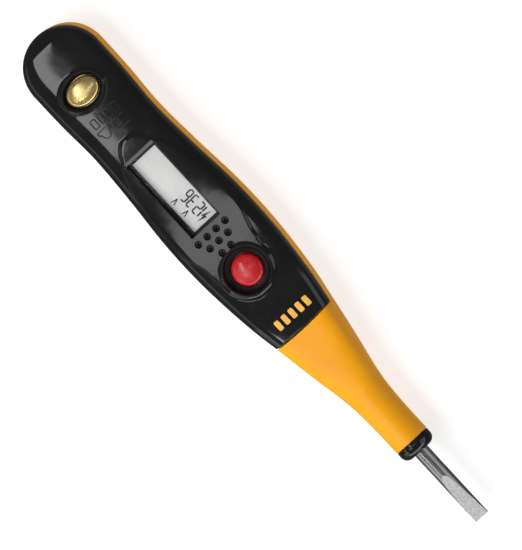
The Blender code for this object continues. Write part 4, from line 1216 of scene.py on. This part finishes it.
def brass():
    """Rubbed brass with fine swirls and a few dull pits."""
    look = Look("polished_brass")
    clouds = look.noise(1.6, 4.0)
    swirl = look.noise(0.12, 4.0, 0.6, (1.0, 0.25, 1.0))
    pits = look.ranged(look.noise(0.22, 2.0), 0.66, 0.74)
    spots = [(pits, 0.2, (0.5, 0.36, 0.14))]
    look.colour(look.spread(clouds), (0.72, 0.52, 0.2), (0.84, 0.65, 0.3), *spots)
    look.rough(look.spread(swirl, 0.18, 0.27), look.spread(clouds, -0.04, 0.05))
    look.bump((look.noise(0.9, 2.0), 0.003), (swirl, 0.0008))
    return look.set(Metallic=0.85).material


def red_clear():
    """Translucent red plastic with a glossy skin and faint flow clouds."""
    look = Look("red_clear_plastic")
    look.colour(look.spread(look.noise(1.6, 3.0)), (0.6, 0.01, 0.016), (0.8, 0.03, 0.036))
    look.rough(look.spread(look.noise(0.5, 3.0), 0.14, 0.22))
    look.bump((look.noise(1.4, 1.5), 0.008))
    look.set(Specular_IOR_Level=0.8, Transmission_Weight=0.25, IOR=1.49)
    look.set(Subsurface_Weight=0.35, Subsurface_Scale=0.0015, Subsurface_Radius=(1.0, 0.12, 0.08))
    return look.material


def ground_steel():
    """Facet left by grinding: bright matte speckle."""
    look = Look("ground_steel")
    speckle = look.noise(0.16, 3.0, 0.7)
    mix = look.weighed((speckle, 0.75), (look.noise(0.5, 2.0), 0.25))
    look.colour(look.ranged(mix, 0.38, 0.62), (0.36, 0.36, 0.37), (0.78, 0.78, 0.79))
    look.rough(look.spread(speckle, 0.5, 0.75))
    look.bump((speckle, 0.012))
    return look.set(Metallic=0.6).material


def nickel():
    """Plated bar with drawing lines along its length."""
    look = Look("nickel_steel")
    lines = look.noise(0.1, 4.0, 0.6, (0.03, 1.0, 1.0))
    clouds = look.noise(2.0, 3.0, 0.5, (0.3, 1.0, 1.0))
    look.colour(look.spread(clouds), (0.34, 0.34, 0.35), (0.46, 0.46, 0.47))
    look.rough(look.spread(lines, 0.22, 0.34), look.spread(clouds, -0.03, 0.04))
    look.bump((lines, 0.0015))
    return look.set(Metallic=1.0).material


def lcd_grey():
    """Silver-grey display face with its fine reflective speckle."""
    look = Look("lcd_face")
    speckle = look.noise(0.12, 2.0, 0.7)
    mix = look.weighed((speckle, 0.6), (look.noise(5.0, 3.0), 0.4))
    look.colour(look.ranged(mix, 0.35, 0.65), (0.64, 0.635, 0.625), (0.75, 0.745, 0.735))
    look.rough(look.spread(speckle, 0.35, 0.5))
    return look.bump((speckle, 0.0015)).material


def clear_pane():
    """Thin clear window: see-through, glossier at low angles, with faint hairlines."""
    look = Look("clear_pane")
    look.tree.nodes.remove(look.shader)
    hair = look.noise(0.1, 3.0, 0.6, (0.05, 1.0, 1.0))
    clear = look.node("ShaderNodeBsdfTransparent", Color=grey(0.98))
    gloss = look.node("ShaderNodeBsdfGlossy", Roughness=look.spread(hair, 0.02, 0.08))
    facing = look.tree.nodes.new("ShaderNodeLayerWeight").outputs["Facing"]
    weight = look.maths("ADD", look.maths("MULTIPLY", look.maths("POWER", facing, 4.0), 0.45), 0.01)
    mix = look.tree.nodes.new("ShaderNodeMixShader")
    for place, value in enumerate((weight, clear.outputs[0], gloss.outputs[0])):
        look.put(mix.inputs[place], value)
    look.put(look.tree.nodes["Material Output"].inputs["Surface"], mix.outputs[0])
    return look.material


def board_green():
    """Solder mask over faint tracks."""
    look = Look("board_green")
    brick = look.node("ShaderNodeTexBrick", Vector=look.place, Scale=260)
    look.colour(look.ranged(look.noise(1.2, 3.0), 0.4, 0.6), (0.01, 0.12, 0.04), (0.015, 0.2, 0.07))
    look.rough(look.spread(look.noise(0.3, 2.0), 0.25, 0.4))
    return look.bump((brick.outputs["Fac"], 0.03)).material


PLASTICS = {  # two colours, roughness, size of mottling and of grain in mm, and the grain's depth in mm
    "black_rubber": (grey(0.012), grey(0.02), (0.5, 0.65), 3.0, 0.15, 0.006),
    "zebra_rubber": ((0.2, 0.2, 0.21), (0.4, 0.38, 0.36), (0.6, 0.75), 0.4, 0.12, 0.006),
    "black_part": ((0.014, 0.014, 0.015), (0.03, 0.03, 0.032), (0.4, 0.55), 2.0, 0.12, 0.005),
    "switch_white": ((0.7, 0.69, 0.64), (0.8, 0.79, 0.75), (0.35, 0.45), 2.0, 0.15, 0.003),
    "ceramic_white": ((0.72, 0.7, 0.62), (0.82, 0.8, 0.72), (0.5, 0.65), 1.5, 0.1, 0.003),
    "resistor_blue": ((0.05, 0.16, 0.35), (0.08, 0.24, 0.45), (0.3, 0.4), 2.0, 0.15, 0.003),
    "resistor_brown": ((0.42, 0.26, 0.13), (0.55, 0.35, 0.19), (0.35, 0.5), 2.0, 0.15, 0.004),
    "capacitor_tan": ((0.42, 0.28, 0.14), (0.52, 0.36, 0.2), (0.4, 0.55), 1.5, 0.12, 0.003),
    "printed_amber": ((0.86, 0.4, 0.03), (0.95, 0.48, 0.05), (0.4, 0.5), 3.0, 0.2, 0.002),
    "display_ink": ((0.02, 0.022, 0.03), (0.05, 0.052, 0.06), (0.4, 0.5), 1.0, 0.1, 0.001),
}
METALS = {  # two colours, roughness, and size of grain in mm
    "spring_steel": ((0.5, 0.5, 0.52), (0.66, 0.66, 0.67), (0.22, 0.36), 0.3),
    "cell_steel": (grey(0.6), grey(0.74), (0.18, 0.3), 0.5),
    "zinc_steel": ((0.5, 0.5, 0.52), (0.68, 0.68, 0.66), (0.25, 0.4), 0.4),
}


def make_looks():
    """A procedural material for each of the record's material slots, and a few for single pieces."""
    looks = {
        "black_gloss": black_gloss(),
        "amber_satin": amber_satin(),
        "brass": brass(),
        "red_clear": red_clear(),
        "clear_pane": clear_pane(),
        "lcd_grey": lcd_grey(),
        "nickel_steel": nickel(),
        "ground_steel": ground_steel(),
        "board_green": board_green(),
    }
    looks |= {name: plastic(name, *values) for name, values in PLASTICS.items()}
    well = (grey(0.006), grey(0.01), (0.25, 0.35), 3.0, 0.15, 0.002)
    looks["black_well"] = plastic("black_well", *well, Specular_IOR_Level=0.18)
    looks |= {name: metal(name, *values) for name, values in METALS.items()}
    return looks


# ---------------------------------------------------------------- assembly


LOOKS = make_looks()


def fit(obj, slot, *nodes, body="handle", look=None):
    """Gives a piece its finish and body, and hides the CAD nodes it stands for."""
    obj.data.materials.clear()
    obj.data.materials.append(LOOKS[look or slot])
    if nodes:
        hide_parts(*nodes)
    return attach(obj, body)


def paint_flats(obj):
    """Gives the blade's two ground facets and its end their own finish."""
    obj.data.materials.append(LOOKS["ground_steel"])
    lean = math.atan2(FLAT[0][1] - FLAT[1][1], 12.7)
    for face in obj.data.polygons:
        normal = face.normal
        flat = abs(abs(normal.z) - math.cos(lean)) < 0.002 and abs(normal.x - math.sin(lean)) < 0.01
        if flat or face.center.x > (TIP_S - HALF_LENGTH - 0.01) * MM:
            face.material_index = 1


def finish_inside():
    """Gives the CAD's own pieces, those inside, their procedural finishes."""
    for node in frame["nodes"].values():
        materials = node.data.materials
        slot = materials[0].name.split(".")[0] if materials else "black_part"
        for place in range(len(materials)):
            materials[place] = LOOKS.get(slot, LOOKS["black_part"])


def build():
    finish_inside()
    fit(cover_shell(), "black_gloss", "front_cover")
    fit(contact_well(), "black_gloss", "front_cover", look="black_well")
    fit(button_bezel(), "black_gloss", "front_cover", look="black_well")
    fit(window_lip(), "black_gloss", "front_cover")
    fit(touch_sign(), "black_gloss", "front_cover")
    fit(printed_bars(), "amber_satin", look="printed_amber")
    fit(housing_shell(), "amber_satin", "rear_housing")
    fit(door(), "amber_satin", "battery_door", body="battery_hatch")
    fit(collar(), "black_gloss", "nose_collar")
    paint_flats(fit(blade(), "nickel_steel", "screwdriver_blade"))
    fit(contact(), "brass", "test_contact", body="touch_contact")
    fit(push_button(), "red_clear", "red_button", body="red_push_button")
    glass, film, pane = display_parts()
    fit(glass, "lcd_grey", "lcd_panel")
    fit(film, "lcd_grey", "lcd_panel")
    fit(pane, "clear_pane", "display_window")
    fit(gasket(), "black_rubber", "display_gasket")
    fit(display_marks(), "black_part", look="display_ink")
    spring = coil("contact_coil", (CONTACT_S, 0), 1.9, 0.16, 0.16, 2.24, 4)
    fit(spring, "spring_steel", "test_contact_spring")
    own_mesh(spring)
    tube = sleeve(ends("blade_sleeve")[0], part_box("blade_sleeve")[1].y / MM)
    fit(tube, "black_part", "blade_sleeve")
    base, tip = levels("cover_screw")
    back_screw = screw("back_screw", spot("cover_screw"), 1.75, 0.93, base, base + 1.25, tip)
    fit(back_screw, "zinc_steel", "cover_screw")
    for node in ("battery_cell_front", "battery_cell_rear"):
        fit(cell(node + "_can", node), "cell_steel", node)


# ---------------------------------------------------------------- studio


PITCH = math.radians(14.0)  # how far the tool is rolled towards the camera's right
SPIN = math.radians(47.26)  # how far the tool points down to the right in the picture
CAMERA_DISTANCE = 1.6
LENS = 490.0
AIM = (0.00014, 0.00052)  # aimed this far along and across the tool from its middle
AIM_LEFT = 0.00024  # and this far to the left in the picture
WORLD_STRENGTH = 0.125
FLOOR_Z = -0.0001
FLOOR_GLOW = 0.74
GLOSS_BOXES = [  # name, two corners, height and radiance
    ("long_softbox", (-0.36, -0.235), (-0.056, -0.151), 0.6, 4.1),
    ("strip_softbox", (-0.033, -0.4), (-0.004, 0.2), 0.6, 2.5),
    ("nose_softbox", (0.058, -0.4), (0.08, -0.15), 0.6, 8.0),
    ("far_softbox", (-0.9, -1.6), (0.3, -0.8), 0.6, 0.7),
]
DIFFUSE_BOXES = [
    ("key", (-0.5, -0.95), (0.5, -0.15), 0.7, 4.2),
    ("top_fill", (-0.6, -0.5), (0.6, 0.6), 1.0, 0.4),
]
CARDS = [  # name, middle, size, radiance and facing
    ("front_card", (0.9, -0.15, 0.305), (1.9, 0.49), 2.6, (-1, 0, 0)),
    ("blade_card_left", (0.2, 0.3, 0.17), (0.3, 0.3), 0.9, (0, -1, 0)),
    ("blade_card_right", (0.2, -0.4, 0.17), (0.3, 0.3), 0.8, (0, 1, 0)),
]


def camera():
    """Long lens straight above the tool, with the tool's roll and turn put into the camera."""
    facing = Vector((0, math.sin(PITCH), math.cos(PITCH)))
    along = Vector((1, 0, 0))
    across = Vector((0, math.cos(PITCH), -math.sin(PITCH)))
    right = math.cos(SPIN) * along + math.sin(SPIN) * across
    up = -math.sin(SPIN) * along + math.cos(SPIN) * across
    data = bpy.data.cameras.new("camera")
    data.lens, data.sensor_width = LENS, 36
    data.clip_start, data.clip_end = 0.01, 10
    cam = placed("camera", data)
    target = Vector((0, 0, AXIS_Z * MM)) - right * AIM_LEFT + along * AIM[0] + across * AIM[1]
    matrix = Matrix((right, up, facing)).transposed().to_4x4()
    matrix.translation = target + facing * CAMERA_DISTANCE
    cam.matrix_world = matrix
    bpy.context.scene.camera = cam


def lamp(name, place, size, radiance, facing=None, diffuse=False):
    """Area light, facing down unless told; seen only in the tool's gloss, or only as diffuse light."""
    data = bpy.data.lights.new(name, "AREA")
    data.shape = "RECTANGLE"
    data.size, data.size_y = size
    data.energy = radiance * math.pi * data.size * data.size_y
    light = placed(name, data)
    light.location = place
    if facing:
        light.rotation_euler = Vector(facing).to_track_quat("-Z", "Y").to_euler()
    light.visible_glossy, light.visible_diffuse = not diffuse, diffuse
    light.visible_camera = False


def softbox(name, low, high, height, radiance, diffuse=False):
    """Level lamp over a rectangle."""
    place = ((low[0] + high[0]) / 2, (low[1] + high[1]) / 2, height)
    lamp(name, place, (high[0] - low[0], high[1] - low[1]), radiance, diffuse=diffuse)


def studio():
    """Plain view transform, dim white world, lights, cards and a paper floor."""
    scene = bpy.context.scene
    scene.view_settings.view_transform = "Standard"
    scene.view_settings.look = "None"
    scene.world = bpy.data.worlds.new("studio")
    scene.world.use_nodes = True
    background = scene.world.node_tree.nodes["Background"]
    background.inputs["Color"].default_value = (1, 1, 1, 1)
    background.inputs["Strength"].default_value = WORLD_STRENGTH
    for row in GLOSS_BOXES:
        softbox(*row)
    for row in CARDS:
        lamp(*row)
    for row in DIFFUSE_BOXES:
        softbox(*row, diffuse=True)
    mesh = bpy.data.meshes.new("floor")
    corners = [(x, y, FLOOR_Z) for x, y in rectangle(-3.0, 3.0, 3.0)]
    mesh.from_pydata(corners, [], [(0, 1, 2, 3)])
    floor = placed("floor", mesh)
    look = Look("paper_floor")
    look.colour(look.spread(look.noise(40.0, 3.0)), grey(0.4), grey(0.43))
    look.set(Roughness=0.9, Specular_IOR_Level=0.1)
    look.set(Emission_Color=grey(1.0), Emission_Strength=FLOOR_GLOW)
    mesh.materials.append(look.material)
    floor.visible_glossy = False


build()
studio()
camera()
